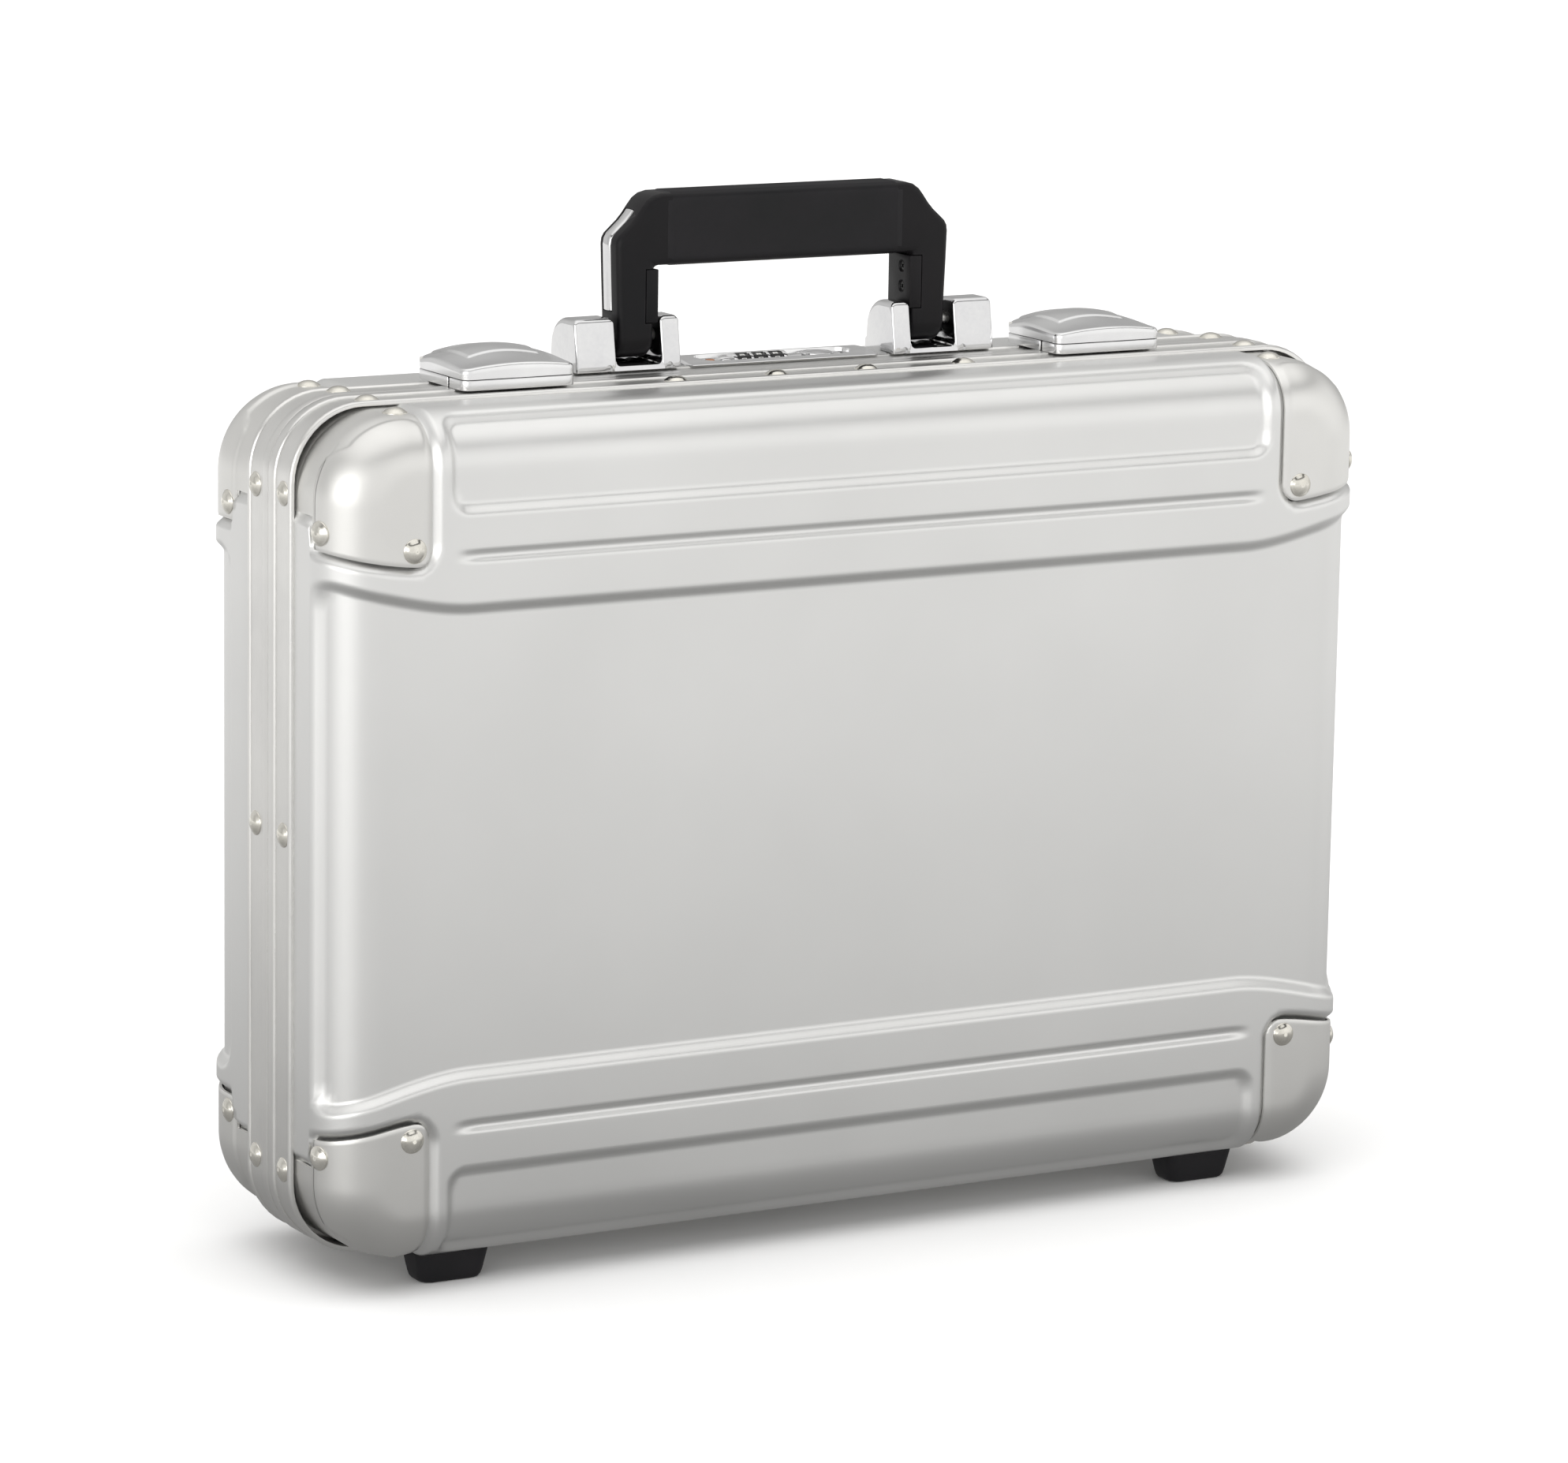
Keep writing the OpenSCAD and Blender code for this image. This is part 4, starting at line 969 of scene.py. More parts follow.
def build_lever(sx, name):
    """Crowned lever: a closed grid skin whose top follows lever_top, hollow below."""
    mid_y = (LATCH_FRONT + LATCH_BACK) / 2
    half_y = (LATCH_BACK - LATCH_FRONT) / 2
    nx, ny = 96, 84
    verts, index = [], {}
    for j in range(ny + 1):
        for i in range(nx + 1):
            a, b = 2 * i / nx - 1, 2 * j / ny - 1
            x, y = squared_disc(a, b, LATCH_HALF - 0.02, half_y - 0.02, LATCH_R)
            edge = edge_distance(x, y, LATCH_HALF, half_y, LATCH_R)
            top = lever_top(x, mid_y + y)
            top -= 0.9 * (1 - ramp(edge, 0, 1.0)) ** 2
            index[i, j] = len(verts)
            verts.append(row(sx * LATCH_X + x, mid_y + y, top))
    faces = [(index[i, j], index[i + 1, j], index[i + 1, j + 1], index[i, j + 1])
             for j in range(ny) for i in range(nx)]
    rim = [(i, 0) for i in range(nx)] + [(nx, j) for j in range(ny)]
    rim += [(i, ny) for i in range(nx, 0, -1)] + [(0, j) for j in range(ny, 0, -1)]
    rims = [[index[key] for key in rim]]
    for inset, drop in ((0.0, 0.35), (0.0, 0.7), (0.0, 1.0), (0.35, 1.06)):
        ring = []
        for key in rim:
            p = verts[index[key]]
            x, y = p.x / MM - sx * LATCH_X, p.y / MM - SEAM_Y - mid_y
            scale_x, scale_y = 1 - inset / LATCH_HALF, 1 - inset / half_y
            tail = ramp(y + mid_y, LATCH_BACK - 5.5, LATCH_BACK)
            low = LEVER_BOTTOM + (0.0 if inset == 0 else -0.0) + 2.4 * tail ** 2
            top = p.z / MM - MID_Z
            z = top + (low - top) * min(drop, 1.0) - (0.0 if drop <= 1 else 0.0)
            ring.append(len(verts))
            verts.append(row(sx * LATCH_X + x * scale_x, mid_y + y * scale_y, z))
        rims.append(ring)
    for upper, lower in zip(rims, rims[1:]):
        for k in range(len(upper)):
            m = (k + 1) % len(upper)
            faces.append((upper[k], upper[m], lower[m], lower[k]))
    obj = make_object(name + "_pad", verts, faces)
    face = max(obj.data.polygons, key=lambda p: p.center.z)
    if face.normal.z < 0:
        obj.data.flip_normals()
    add_solidify(obj, 1.3)
    apply_modifiers(obj)
    return mark_sharp(obj, 50)


def squared_disc(a, b, half_x, half_y, r):
    """Maps a square grid onto a rounded rectangle, moving only what lies near the corners."""
    x, y = a * half_x, b * half_y
    over_x, over_y = abs(x) - (half_x - r), abs(y) - (half_y - r)
    if over_x > 0 and over_y > 0:
        most = max(over_x, over_y)
        length = math.hypot(over_x, over_y)
        x = math.copysign(half_x - r + over_x * most / length, x)
        y = math.copysign(half_y - r + over_y * most / length, y)
    return x, y


def edge_distance(x, y, half_x, half_y, r):
    """Distance inside a rounded rectangle's outline."""
    over_x, over_y = abs(x) - (half_x - r), abs(y) - (half_y - r)
    if over_x > 0 and over_y > 0:
        return r - math.hypot(over_x, over_y)
    return min(half_x - abs(x), half_y - abs(y))


def latch_slab(sx, name, y0, y1, z0, z1, inset=0.0):
    """Part of the latch's footprint between two depths, with its rounded outer corners."""
    mid_y = (LATCH_FRONT + LATCH_BACK) / 2
    half_y = (LATCH_BACK - LATCH_FRONT) / 2
    outline = rounded_rect(LATCH_HALF - inset, half_y - inset, max(LATCH_R - inset, 1.0), 8)
    rings = [[row(sx * LATCH_X + x, mid_y + y, z) for x, y in outline] for z in (z0, z1)]
    slab = loft(name, rings)
    low, high = sx * LATCH_X - 40, sx * LATCH_X + 40
    keep = block("keep", (low, y0, z0 - 5), (high, y1, z1 + 5))
    boolean = slab.modifiers.new("keep", "BOOLEAN")
    boolean.operation = "INTERSECT"
    boolean.solver = "EXACT"
    boolean.object = keep
    apply_modifiers(slab)
    bpy.data.objects.remove(keep, do_unlink=True)
    return slab


def build_strike(sx, name):
    strike = latch_slab(sx, name + "_plate", LATCH_FRONT - 1, STRIKE_END, HALF_H + 0.02,
                        HALF_H + BASE_STEP)
    low, high = sx * LATCH_X - 7.5, sx * LATCH_X + 7.5
    cut(strike, block("hook_pocket", (low, LATCH_FRONT + 2.2, HALF_H + 1.3),
                      (high, STRIKE_END - 2.0, HALF_H + 9)))
    add_bevel(strike, 0.45, 3, 45)
    apply_modifiers(strike)
    return mark_sharp(strike, 40)


def build_latch_base(sx, name):
    """Base plate under the lever's rear, with a wall round it and two ears for the pin."""
    base = latch_slab(sx, name + "_tray", BASE_START, LATCH_BACK + 1, HALF_H + 0.02,
                      HALF_H + BASE_STEP)
    hollow = latch_slab(sx, "hollow", BASE_START - 1, LATCH_BACK - 2, HALF_H + 1.3,
                        HALF_H + BASE_STEP + 4, 2.0)
    cut(base, hollow)
    add_bevel(base, 0.4, 3, 45)
    apply_modifiers(base)
    ears = []
    for side in (-1, 1):
        x = sx * LATCH_X + side * 13.0
        outline = [(PIN_Y - 1.95, HALF_H + 1.0), (PIN_Y + 1.95, HALF_H + 1.0)]
        outline += arc_points(PIN_Y, LEVER_BOTTOM + 3.2, 1.95, 0, 180, 12)
        ears.append(extrude_x("ear", outline, x - 1.25, x + 1.25))
    foot = block("foot", (sx * LATCH_X - 22, 20.2, SHELL_Z), (sx * LATCH_X + 22, 27.5, HALF_H + 0.5))
    whole = group(name + "_casting", [base, foot] + ears)
    return mark_sharp(whole, 40)


# ---------------------------------------------------------------- lock

LOCK_HALF = 43.0
LOCK_FRONT = 15.0
LOCK_BACK = 36.0
LOCK_TOP = HALF_H + 1.4
LOCK_FLOOR = HALF_H + 0.2
LOCK_Y = 27.0
LOCK_RECESS = (34.5, 6.6)
DIAL_R = 5.1
DIAL_Z = LOCK_TOP + 0.9 - DIAL_R
DIAL_W = 5.6
DIAL_X = (-14.4, -7.0, 0.4)
KNOB_X = 20.0
RESET_X = -28.0


def lock_opening(name, low_z, gap):
    """Cutting block for the lock's place in the wall of the base."""
    half_x, half_y = LOCK_RECESS[0] - 1.5 + gap, LOCK_RECESS[1] - 0.2 + gap
    return block(name, (-half_x, LOCK_Y - half_y, low_z), (half_x, LOCK_Y + half_y, HALF_H + 9))


def lock_top(x, y):
    """Height of the lock plate: flush with the frame in front, a little higher behind."""
    rise = 1.2 * ramp(y, LOCK_FRONT + 0.3, 26) + 0.2
    rim = edge_distance(x, y - (LOCK_FRONT + LOCK_BACK) / 2, LOCK_HALF,
                        (LOCK_BACK - LOCK_FRONT) / 2, 3.0)
    return HALF_H + rise - 0.8 * (1 - ramp(rim, 0, 0.9)) ** 2


def build_lock_plate():
    """Plate with a long round-ended recess, dial slots, a reset hole and the knob's slot."""
    mid_y = (LOCK_FRONT + LOCK_BACK) / 2
    half_y = (LOCK_BACK - LOCK_FRONT) / 2
    nx, ny = 80, 26
    verts, faces = [], []
    for z_level in ("top", "bottom"):
        for j in range(ny + 1):
            for i in range(nx + 1):
                x, y = squared_disc(2 * i / nx - 1, 2 * j / ny - 1, LOCK_HALF, half_y, 3.0)
                z = lock_top(x, mid_y + y) if z_level == "top" else HALF_H - 0.9
                verts.append(row(x, mid_y + y, z))
    n = (nx + 1) * (ny + 1)
    at = lambda i, j: j * (nx + 1) + i
    for j in range(ny):
        for i in range(nx):
            quad = (at(i, j), at(i + 1, j), at(i + 1, j + 1), at(i, j + 1))
            faces.append(quad)
            faces.append(tuple(n + k for k in reversed(quad)))
    rim = [at(i, 0) for i in range(nx)] + [at(nx, j) for j in range(ny)]
    rim += [at(i, ny) for i in range(nx, 0, -1)] + [at(0, j) for j in range(ny, 0, -1)]
    for k, a in enumerate(rim):
        b = rim[(k + 1) % len(rim)]
        faces.append((b, a, n + a, n + b))
    plate = make_object("lock_cover_plate", verts, faces)
    outline = [(x, LOCK_Y + y) for x, y in rounded_rect(*LOCK_RECESS, LOCK_RECESS[1] - 0.05, 12)]
    recess = loft("recess", [[row(x, y, z) for x, y in outline]
                             for z in (LOCK_FLOOR - 0.35, HALF_H + 5)])
    cut(plate, recess)
    slots = []
    for x in DIAL_X:
        slots.append(extrude_x("slot", arc_points(LOCK_Y, DIAL_Z, DIAL_R + 0.35, 0, 350, 35),
                               x - DIAL_W / 2 - 0.3, x + DIAL_W / 2 + 0.3))
    slots.append(block("knob_slot", (KNOB_X - 2.3, LOCK_Y - 2.3, HALF_H - 3),
                       (KNOB_X + 7.3, LOCK_Y + 2.3, HALF_H + 3)))
    slots.append(lathe("reset_hole", [(2.15, 0), (2.15, 9)], row(RESET_X, LOCK_Y, HALF_H - 4),
                       (0, 0, 1), 24))
    slots.append(block("frame_step", (-60, 10, HALF_H - 3), (60, 19.8, HALF_H)))
    cut(plate, *slots)
    add_bevel(plate, 0.25, 2, 50)
    apply_modifiers(plate)
    return mark_sharp(plate, 35)


def build_lock_details():
    """Domes between the dials, the round boss beside them and the ring round the reset hole."""
    pieces = []
    gaps = [(DIAL_X[0] - 3.7, 0.9), (mean(DIAL_X[0], DIAL_X[1]), 0.75),
            (mean(DIAL_X[1], DIAL_X[2]), 0.75), (DIAL_X[2] + 3.7, 0.9)]
    for x, half in gaps:
        profile = arc_points(LOCK_Y, DIAL_Z, DIAL_R - 0.1, 25, 155, 14)
        profile += [(LOCK_Y - 4.4, LOCK_FLOOR - 0.4), (LOCK_Y + 4.4, LOCK_FLOOR - 0.4)]
        divider = extrude_x("divider", profile, x - half + 0.1, x + half - 0.1)
        add_bevel(divider, 0.2, 2, 45)
        pieces.append(apply_modifiers(divider))
    boss = lathe("boss", [(3.0, -0.6), (3.0, 0.2), (2.7, 0.6), (1.9, 1.0), (0.9, 1.2), (0.0, 1.25)],
                 row(DIAL_X[0] - 6.9, LOCK_Y, LOCK_FLOOR - 0.2), (0, 0, 1), 28)
    pieces.append(boss)
    ring = lathe("ring", [(2.0, -0.3), (3.3, -0.3), (3.3, 0.05), (3.1, 0.25), (2.4, 0.25),
                          (2.2, 0.0)], row(RESET_X, LOCK_Y, LOCK_FLOOR - 0.25), (0, 0, 1), 28)
    pieces.append(ring)
    return mark_sharp(group("lock_plate_details", pieces), 45)


def build_dial(i, name):
    """Number wheel with ten flats and a ridge at each step; its white numbers are built apart by
    build_numerals.
    """
    teeth = 10
    x = DIAL_X[i]
    half = DIAL_W / 2 - 0.15
    outline = []
    for k in range(teeth):
        for share, r in ((0.0, 0.0), (0.12, 0.0), (0.22, -0.45), (0.78, -0.45), (0.88, 0.0)):
            a = 2 * math.pi * (k + share) / teeth
            outline.append((LOCK_Y + (DIAL_R + r) * math.sin(a), DIAL_Z + (DIAL_R + r) * math.cos(a)))
    wheel = extrude_x(name + "_wheel", outline, x - half, x + half)
    cut(wheel, lathe("bore", [(0.85, -9), (0.85, 9)], row(x, LOCK_Y, DIAL_Z), (1, 0, 0), 16))
    add_bevel(wheel, 0.15, 2, 40)
    apply_modifiers(wheel)
    return mark_sharp(wheel, 35)


SEGMENTS = {"top": (0, 1, 1, 0), "middle": (0, 0, 1, 0), "bottom": (0, -1, 1, 0),
            "upper_left": (-1, 0.5, 0, 1), "upper_right": (1, 0.5, 0, 1),
            "lower_left": (-1, -0.5, 0, 1), "lower_right": (1, -0.5, 0, 1)}
NUMERALS = ["top bottom upper_left upper_right lower_left lower_right", "upper_right lower_right",
            "top middle bottom upper_right lower_left",
            "top middle bottom upper_right lower_right",
            "middle upper_left upper_right lower_right",
            "top middle bottom upper_left lower_right",
            "top middle bottom upper_left lower_left lower_right", "top upper_right lower_right",
            "top middle bottom upper_left upper_right lower_left lower_right",
            "top middle bottom upper_left upper_right lower_right"]


def build_numerals(i, name):
    """White painted numbers 0 to 9 round one dial, each made of short strokes."""
    strokes = []
    x = DIAL_X[i]
    for number, used in enumerate(NUMERALS):
        middle = 2 * math.pi * (number + 0.5) / 10
        for part in used.split():
            across, up, is_flat, _ = SEGMENTS[part]
            half_x = 0.95 if is_flat else 0.2
            half_a = 0.2 if is_flat else 0.62
            cx = x + across * 0.85
            ca = middle - up * 0.85 / DIAL_R
            rings = []
            for h in (DIAL_R - 0.6, DIAL_R - 0.4):
                ring = []
                for px, pa in ((-1, -1), (1, -1), (1, 1), (-1, 1)):
                    a = ca + pa * half_a / DIAL_R
                    ring.append(row(cx + px * half_x, LOCK_Y + h * math.sin(a),
                                    DIAL_Z + h * math.cos(a)))
                rings.append(ring)
            strokes.append(loft("stroke", rings))
    marks = group(name + "_numbers", strokes)
    for polygon in marks.data.polygons:
        polygon.use_smooth = False
    return marks


def build_knob():
    """Round domed release knob with a raised rim, on its stem."""
    profile = [(0, -6.6), (1.95, -6.6), (1.95, 0.05), (6.1, 0.05), (6.2, 0.2), (6.2, 0.75),
               (6.0, 1.05), (5.6, 1.15), (5.2, 1.0), (4.9, 0.85), (4.2, 1.05), (3.0, 1.35),
               (1.6, 1.52), (0, 1.58)]
    knob = lathe("release_knob_cap", profile, row(KNOB_X, LOCK_Y, LOCK_FLOOR - 0.25), (0, 0, 1), 48)
    return mark_sharp(knob, 50)


def build_reset_button():
    profile = [(0, -4.0), (1.9, -4.0), (1.95, 0.1), (1.8, 0.3), (1.2, 0.42), (0, 0.45)]
    button = lathe("code_reset_cap", profile, row(RESET_X, LOCK_Y, LOCK_FLOOR - 0.1), (0, 0, 1), 28)
    slot = block("driver_slot", (RESET_X - 3, LOCK_Y - 0.35, LOCK_FLOOR - 0.05),
                 (RESET_X + 3, LOCK_Y + 0.35, LOCK_FLOOR + 3))
    cut(button, slot)
    return mark_sharp(button, 45)


# ---------------------------------------------------------------- lining and organizer

LINING_R = 29.0
LINING_EDGE = 15.0
QUILT_PITCH = (52.0, 44.0)
QUILT_DEPTH = 1.3
PAD_STEPS = 20
PAD_START = 11.0
PAD_VOXEL = 5.0
PAD_CAP = 6.0


def lining_size(side):
    """Half width, half height, depth of the floor and depth of the rim, from the CAD lining."""
    low, high = node_mm(side + "_lining")
    near, far = (high.y, low.y) if side == "lid" else (low.y, high.y)
    return high.x, (high.z - low.z) / 2, abs(far - SEAM_Y), abs(near - SEAM_Y)


def lining_ring(side, half_x, half_z, d, r):
    return [to_row(side, x, d, z) for x, z in rounded_rect(half_x, half_z, r, 10)]


def quilt(x, z):
    """Height of the quilted floor padding: pillows between sewn lines that cross on a slant."""
    a = x / QUILT_PITCH[0] + z / QUILT_PITCH[1]
    b = x / QUILT_PITCH[0] - z / QUILT_PITCH[1]
    pillow = abs(math.sin(math.pi * a)) * abs(math.sin(math.pi * b))
    return QUILT_DEPTH * pillow ** 0.4


def build_lining(side):
    """Sewn tray of lining cloth: plain walls, a quilted padded floor and a turned rim."""
    half_x, half_z, floor_d, rim_d = lining_size(side)
    rings = []
    outer, inner = [], []
    for i in range(9):
        a = math.pi / 2 * i / 8
        reach = LINING_EDGE * (1 - math.sin(a))
        d = floor_d - LINING_EDGE * (1 - math.cos(a))
        outer.append((reach, d))
        inner.append((reach, d))
    shallow = [(0.0, rim_d + (floor_d - LINING_EDGE - rim_d) * k / 6) for k in range(5, -1, -1)]
    outer += shallow
    inner += shallow
    for reach, d in outer:
        rings.append(lining_ring(side, half_x - reach - 0.1, half_z - reach - 0.1, d - 0.1,
                                 LINING_R - reach * 0.9))
    puff = 1.9
    rings.append(lining_ring(side, half_x - 1.0, half_z - 1.0, rim_d - 0.0, LINING_R - 1))
    for k, (reach, d) in enumerate(reversed(inner)):
        inset = reach + (1.5 if k == 0 else puff)
        rings.append(lining_ring(side, half_x - inset, half_z - inset, min(d + 0.4, floor_d - puff),
                                 LINING_R - inset * 0.9))
    tray = loft(side + "_lining_tray", rings, closed_ends=False)
    cap_outline = rings[0]
    back = make_object("lining_back", cap_outline, [tuple(range(len(cap_outline)))])
    floor = quilted_floor(side, half_x - LINING_EDGE - puff, half_z - LINING_EDGE - puff,
                          floor_d - puff)
    pieces = [tray, back, floor]
    return mark_sharp(group(side + "_lining_cloth", pieces), 60)


def quilted_floor(side, half_x, half_z, d):
    """Quilted panel as a closed slab; it meets the tray's floor at its edge."""
    r = LINING_R - (LINING_EDGE + 1.9) * 0.9
    columns, rows_z = 120, 80
    verts, faces = [], []
    for level in (0, 1):
        for j in range(rows_z + 1):
            for i in range(columns + 1):
                x = half_x * (2 * i / columns - 1)
                z = half_z * (2 * j / rows_z - 1)
                over_x, over_z = abs(x) - (half_x - r), abs(z) - (half_z - r)
                if over_x > 0 and over_z > 0:
                    big = max(over_x, over_z)
                    size = math.hypot(over_x, over_z)
                    x = math.copysign(half_x - r + over_x * big / size, x)
                    z = math.copysign(half_z - r + over_z * big / size, z)
                edge = min(half_x - abs(x), half_z - abs(z))
                rise = quilt(x, z) * ramp(edge, 0, 7) if level else -1.2
                verts.append(to_row(side, x, d - rise, z))
    n, layer = columns + 1, (columns + 1) * (rows_z + 1)
    for j in range(rows_z):
        for i in range(columns):
            quad = (j * n + i, j * n + i + 1, (j + 1) * n + i + 1, (j + 1) * n + i)
            faces.append(quad)
            faces.append(tuple(layer + k for k in reversed(quad)))
    rim = [i for i in range(n)] + [j * n + columns for j in range(1, rows_z + 1)]
    rim += [rows_z * n + i for i in range(columns - 1, -1, -1)]
    rim += [j * n for j in range(rows_z - 1, 0, -1)]
    for a, b in zip(rim, rim[1:] + rim[:1]):
        faces.append((a, b, layer + b, layer + a))
    return make_object("quilted_floor", verts, faces)


def swell(obj, pressure, cap):
    """Blows a closed pad up a little with Blender's cloth, so its faces crown between seams."""
    remesh = obj.modifiers.new("remesh", "REMESH")
    remesh.mode = "VOXEL"
    remesh.voxel_size = PAD_VOXEL * MM
    apply_modifiers(obj)
    rest = [v.co.copy() for v in obj.data.vertices]
    cloth = obj.modifiers.new("cloth", "CLOTH")
    cloth.settings.use_pressure = True
    cloth.settings.uniform_pressure_force = pressure
    cloth.settings.effector_weights.gravity = 0.0
    cloth.point_cache.frame_end = PAD_STEPS
    for step in range(1, PAD_STEPS + 1):
        bpy.context.scene.frame_set(step)
    apply_modifiers(obj)
    bpy.context.scene.frame_set(1)
    for vert, start in zip(obj.data.vertices, rest):
        move = vert.co - start
        if move.length > cap * MM:
            vert.co = start + move.normalized() * cap * MM
    subdivide = obj.modifiers.new("smooth", "SUBSURF")
    subdivide.levels = 1
    subdivide.render_levels = 1
    apply_modifiers(obj)
    for polygon in obj.data.polygons:
        polygon.use_smooth = True
    return obj


def soft_pad(name, half_x, half_z, middle_x, middle_z, near, far):
    """Closed rounded slab on the lid's floor between two depths."""
    outline = rounded_rect(half_x, half_z, 12.0, 6)
    rings = []
    for d, inset in ((far, 1.2), (far - 1.2, 0.0), (near + 1.2, 0.0), (near, 1.2)):
        scale_x, scale_z = (half_x - inset) / half_x, (half_z - inset) / half_z
        rings.append([to_row("lid", middle_x + x * scale_x, d, middle_z + z * scale_z)
                      for x, z in outline])
    return loft(name, rings)


def fit_depth(obj, near, far):
    """Presses a pad between two depths of the lid, where its CAD solid sits."""
    ys = [vert.co.y for vert in obj.data.vertices]
    low, high = min(ys), max(ys)
    y_near, y_far = (SEAM_Y - near) * MM, (SEAM_Y - far) * MM
    for vert in obj.data.vertices:
        vert.co.y = y_far + (y_near - y_far) * (vert.co.y - low) / (high - low)


def piping(name, outline, radius):
    """Round cord along a closed line of points."""
    rings = []
    n = len(outline)
    for i, point in enumerate(outline):
        along = (outline[(i + 1) % n] - outline[i - 1]).normalized()
        side_way = along.cross(Vector((0, 1, 0))).normalized()
        ring = []
        for k in range(8):
            a = 2 * math.pi * k / 8
            ring.append(point + (side_way * math.cos(a) + Vector((0, 1, 0)) * math.sin(a))
                        * radius * MM)
        rings.append(ring)
    faces = []
    for i in range(n):
        j = (i + 1) % n
        for k in range(8):
            m = (k + 1) % 8
            faces.append((i * 8 + k, i * 8 + m, j * 8 + m, j * 8 + k))
    return make_object(name, [p for ring in rings for p in ring], faces)


def stitches(name, outline, length=3.0, gap=1.6, radius=0.35):
    """Row of small raised threads along an open line of points."""
    threads = []
    for a, b in zip(outline, outline[1:]):
        run = (b - a).length / MM
        count = max(1, int(run / (length + gap)))
        step = (b - a) / count
        for i in range(count):
            start = a + step * i
            end = start + step * (length / (length + gap))
            way = (end - start).normalized()
            side_way = way.cross(Vector((0, 1, 0))).normalized()
            rings = []
            for t, scale in ((0, 0.3), (0.2, 1.0), (0.8, 1.0), (1, 0.3)):
                centre = start.lerp(end, t)
                rings.append([centre + (side_way * math.cos(c) + Vector((0, 1, 0)) * math.sin(c))
                              * radius * scale * MM for c in [k * math.pi / 3 for k in range(6)]])
            threads.append(loft("thread", rings))
    return group(name, threads)


def build_organizer():
    """Padded leather panel in the lid with one wide document pocket and two small ones."""
    low, high = node_mm("lid_organizer")
    far, near = SEAM_Y - low.y, SEAM_Y - high.y
    half_x, half_z = high.x, (high.z - low.z) / 2
    panel = soft_pad("panel", half_x - 3, half_z - 3, 0, 0, far - PAD_START, far)
    swell(panel, 3.0, 1.5)
    fit_depth(panel, far - 5.2, far - 0.2)
    wide = soft_pad("wide_pocket", half_x - 7, half_z * 0.46, 0, -half_z * 0.46, near,
                    near + PAD_START)
    swell(wide, 4.0, PAD_CAP)
    fit_depth(wide, near + 0.1, near + 4.9)
    smalls = []
    for sx in (-1, 1):
        small = soft_pad("small_pocket", half_x * 0.44, half_z * 0.30, sx * half_x * 0.48,
                         half_z * 0.42, near, near + PAD_START)
        swell(small, 4.0, PAD_CAP)
        fit_depth(small, near + 0.4, near + 4.9)
        smalls.append(small)
    return group("lid_organizer_pads", [panel, wide] + smalls)


def build_organizer_trim():
    """Cord round each pocket and thread lines along their tops."""
    low, high = node_mm("lid_organizer")
    near = SEAM_Y - high.y
    half_x, half_z = high.x, (high.z - low.z) / 2
    pieces = []
    places = [(half_x - 7, half_z * 0.46, 0, -half_z * 0.46)]
    places += [(half_x * 0.44, half_z * 0.30, sx * half_x * 0.48, half_z * 0.42)
               for sx in (-1, 1)]
    for a, b, x0, z0 in places:
        cord = [to_row("lid", x0 + x, near + 3.4, z0 + z) for x, z in rounded_rect(a, b, 12, 8)]
        pieces.append(piping("cord", cord, 1.1))
        hem = [to_row("lid", x0 + x, near + 1.1, z0 + b - 7) for x in (-a + 12, a - 12)]
        pieces.append(stitches("hem", hem))
    return group("lid_organizer_trim", pieces)


# ---------------------------------------------------------------- materials


def new_node(tree, kind, **inputs):
    """Adds a node; keyword names are its sockets, with underscores for spaces."""
    made = tree.nodes.new(kind)
    for key, value in inputs.items():
        made.inputs[key.replace("_", " ")].default_value = value
    return made


def blank_material(name):
    material = bpy.data.materials.new(name)
    material.use_nodes = True
    tree = material.node_tree
    tree.nodes.clear()
    output = tree.nodes.new("ShaderNodeOutputMaterial")
    shader = tree.nodes.new("ShaderNodeBsdfPrincipled")
    tree.links.new(shader.outputs[0], output.inputs[0])
    coords = tree.nodes.new("ShaderNodeTexCoord")
    return material, tree, shader, coords.outputs["Object"]


def noise(tree, coords, scale, detail=3.0, stretch=(1, 1, 1), roughness=0.55):
    """Noise over the row frame in metres, stretched along an axis where its number is small."""
    mapping = new_node(tree, "ShaderNodeMapping", Scale=stretch)
    tree.links.new(coords, mapping.inputs["Vector"])
    made = new_node(tree, "ShaderNodeTexNoise", Scale=scale, Detail=detail, Roughness=roughness)
    tree.links.new(mapping.outputs[0], made.inputs["Vector"])
    return made.outputs["Fac"]


def ramp_between(tree, value, low, high, out_low, out_high):
    """Maps a value from one range to another, held at the ends."""
    made = new_node(tree, "ShaderNodeMapRange", From_Min=low, From_Max=high, To_Min=out_low,
                    To_Max=out_high)
    tree.links.new(value, made.inputs["Value"])
    return made.outputs["Result"]


def colour_between(tree, value, first, second):
    made = tree.nodes.new("ShaderNodeMix")
    made.data_type = "RGBA"
    made.inputs[6].default_value = (*first, 1)
    made.inputs[7].default_value = (*second, 1)
    tree.links.new(value, made.inputs["Factor"])
    return made.outputs[2]


def math_node(tree, operation, first, second):
    made = tree.nodes.new("ShaderNodeMath")
    made.operation = operation
    for slot_index, value in enumerate((first, second)):
        if isinstance(value, (int, float)):
            made.inputs[slot_index].default_value = value
        else:
            tree.links.new(value, made.inputs[slot_index])
    return made.outputs[0]


def add_bumps(tree, shader, heights):
    """Chains bump nodes; heights is a list of (value, metres of height)."""
    normal = None
    for value, distance in heights:
        bump = new_node(tree, "ShaderNodeBump", Strength=1.0, Distance=distance)
        tree.links.new(value, bump.inputs["Height"])
        if normal is not None:
            tree.links.new(normal, bump.inputs["Normal"])
        normal = bump.outputs["Normal"]
    tree.links.new(normal, shader.inputs["Normal"])


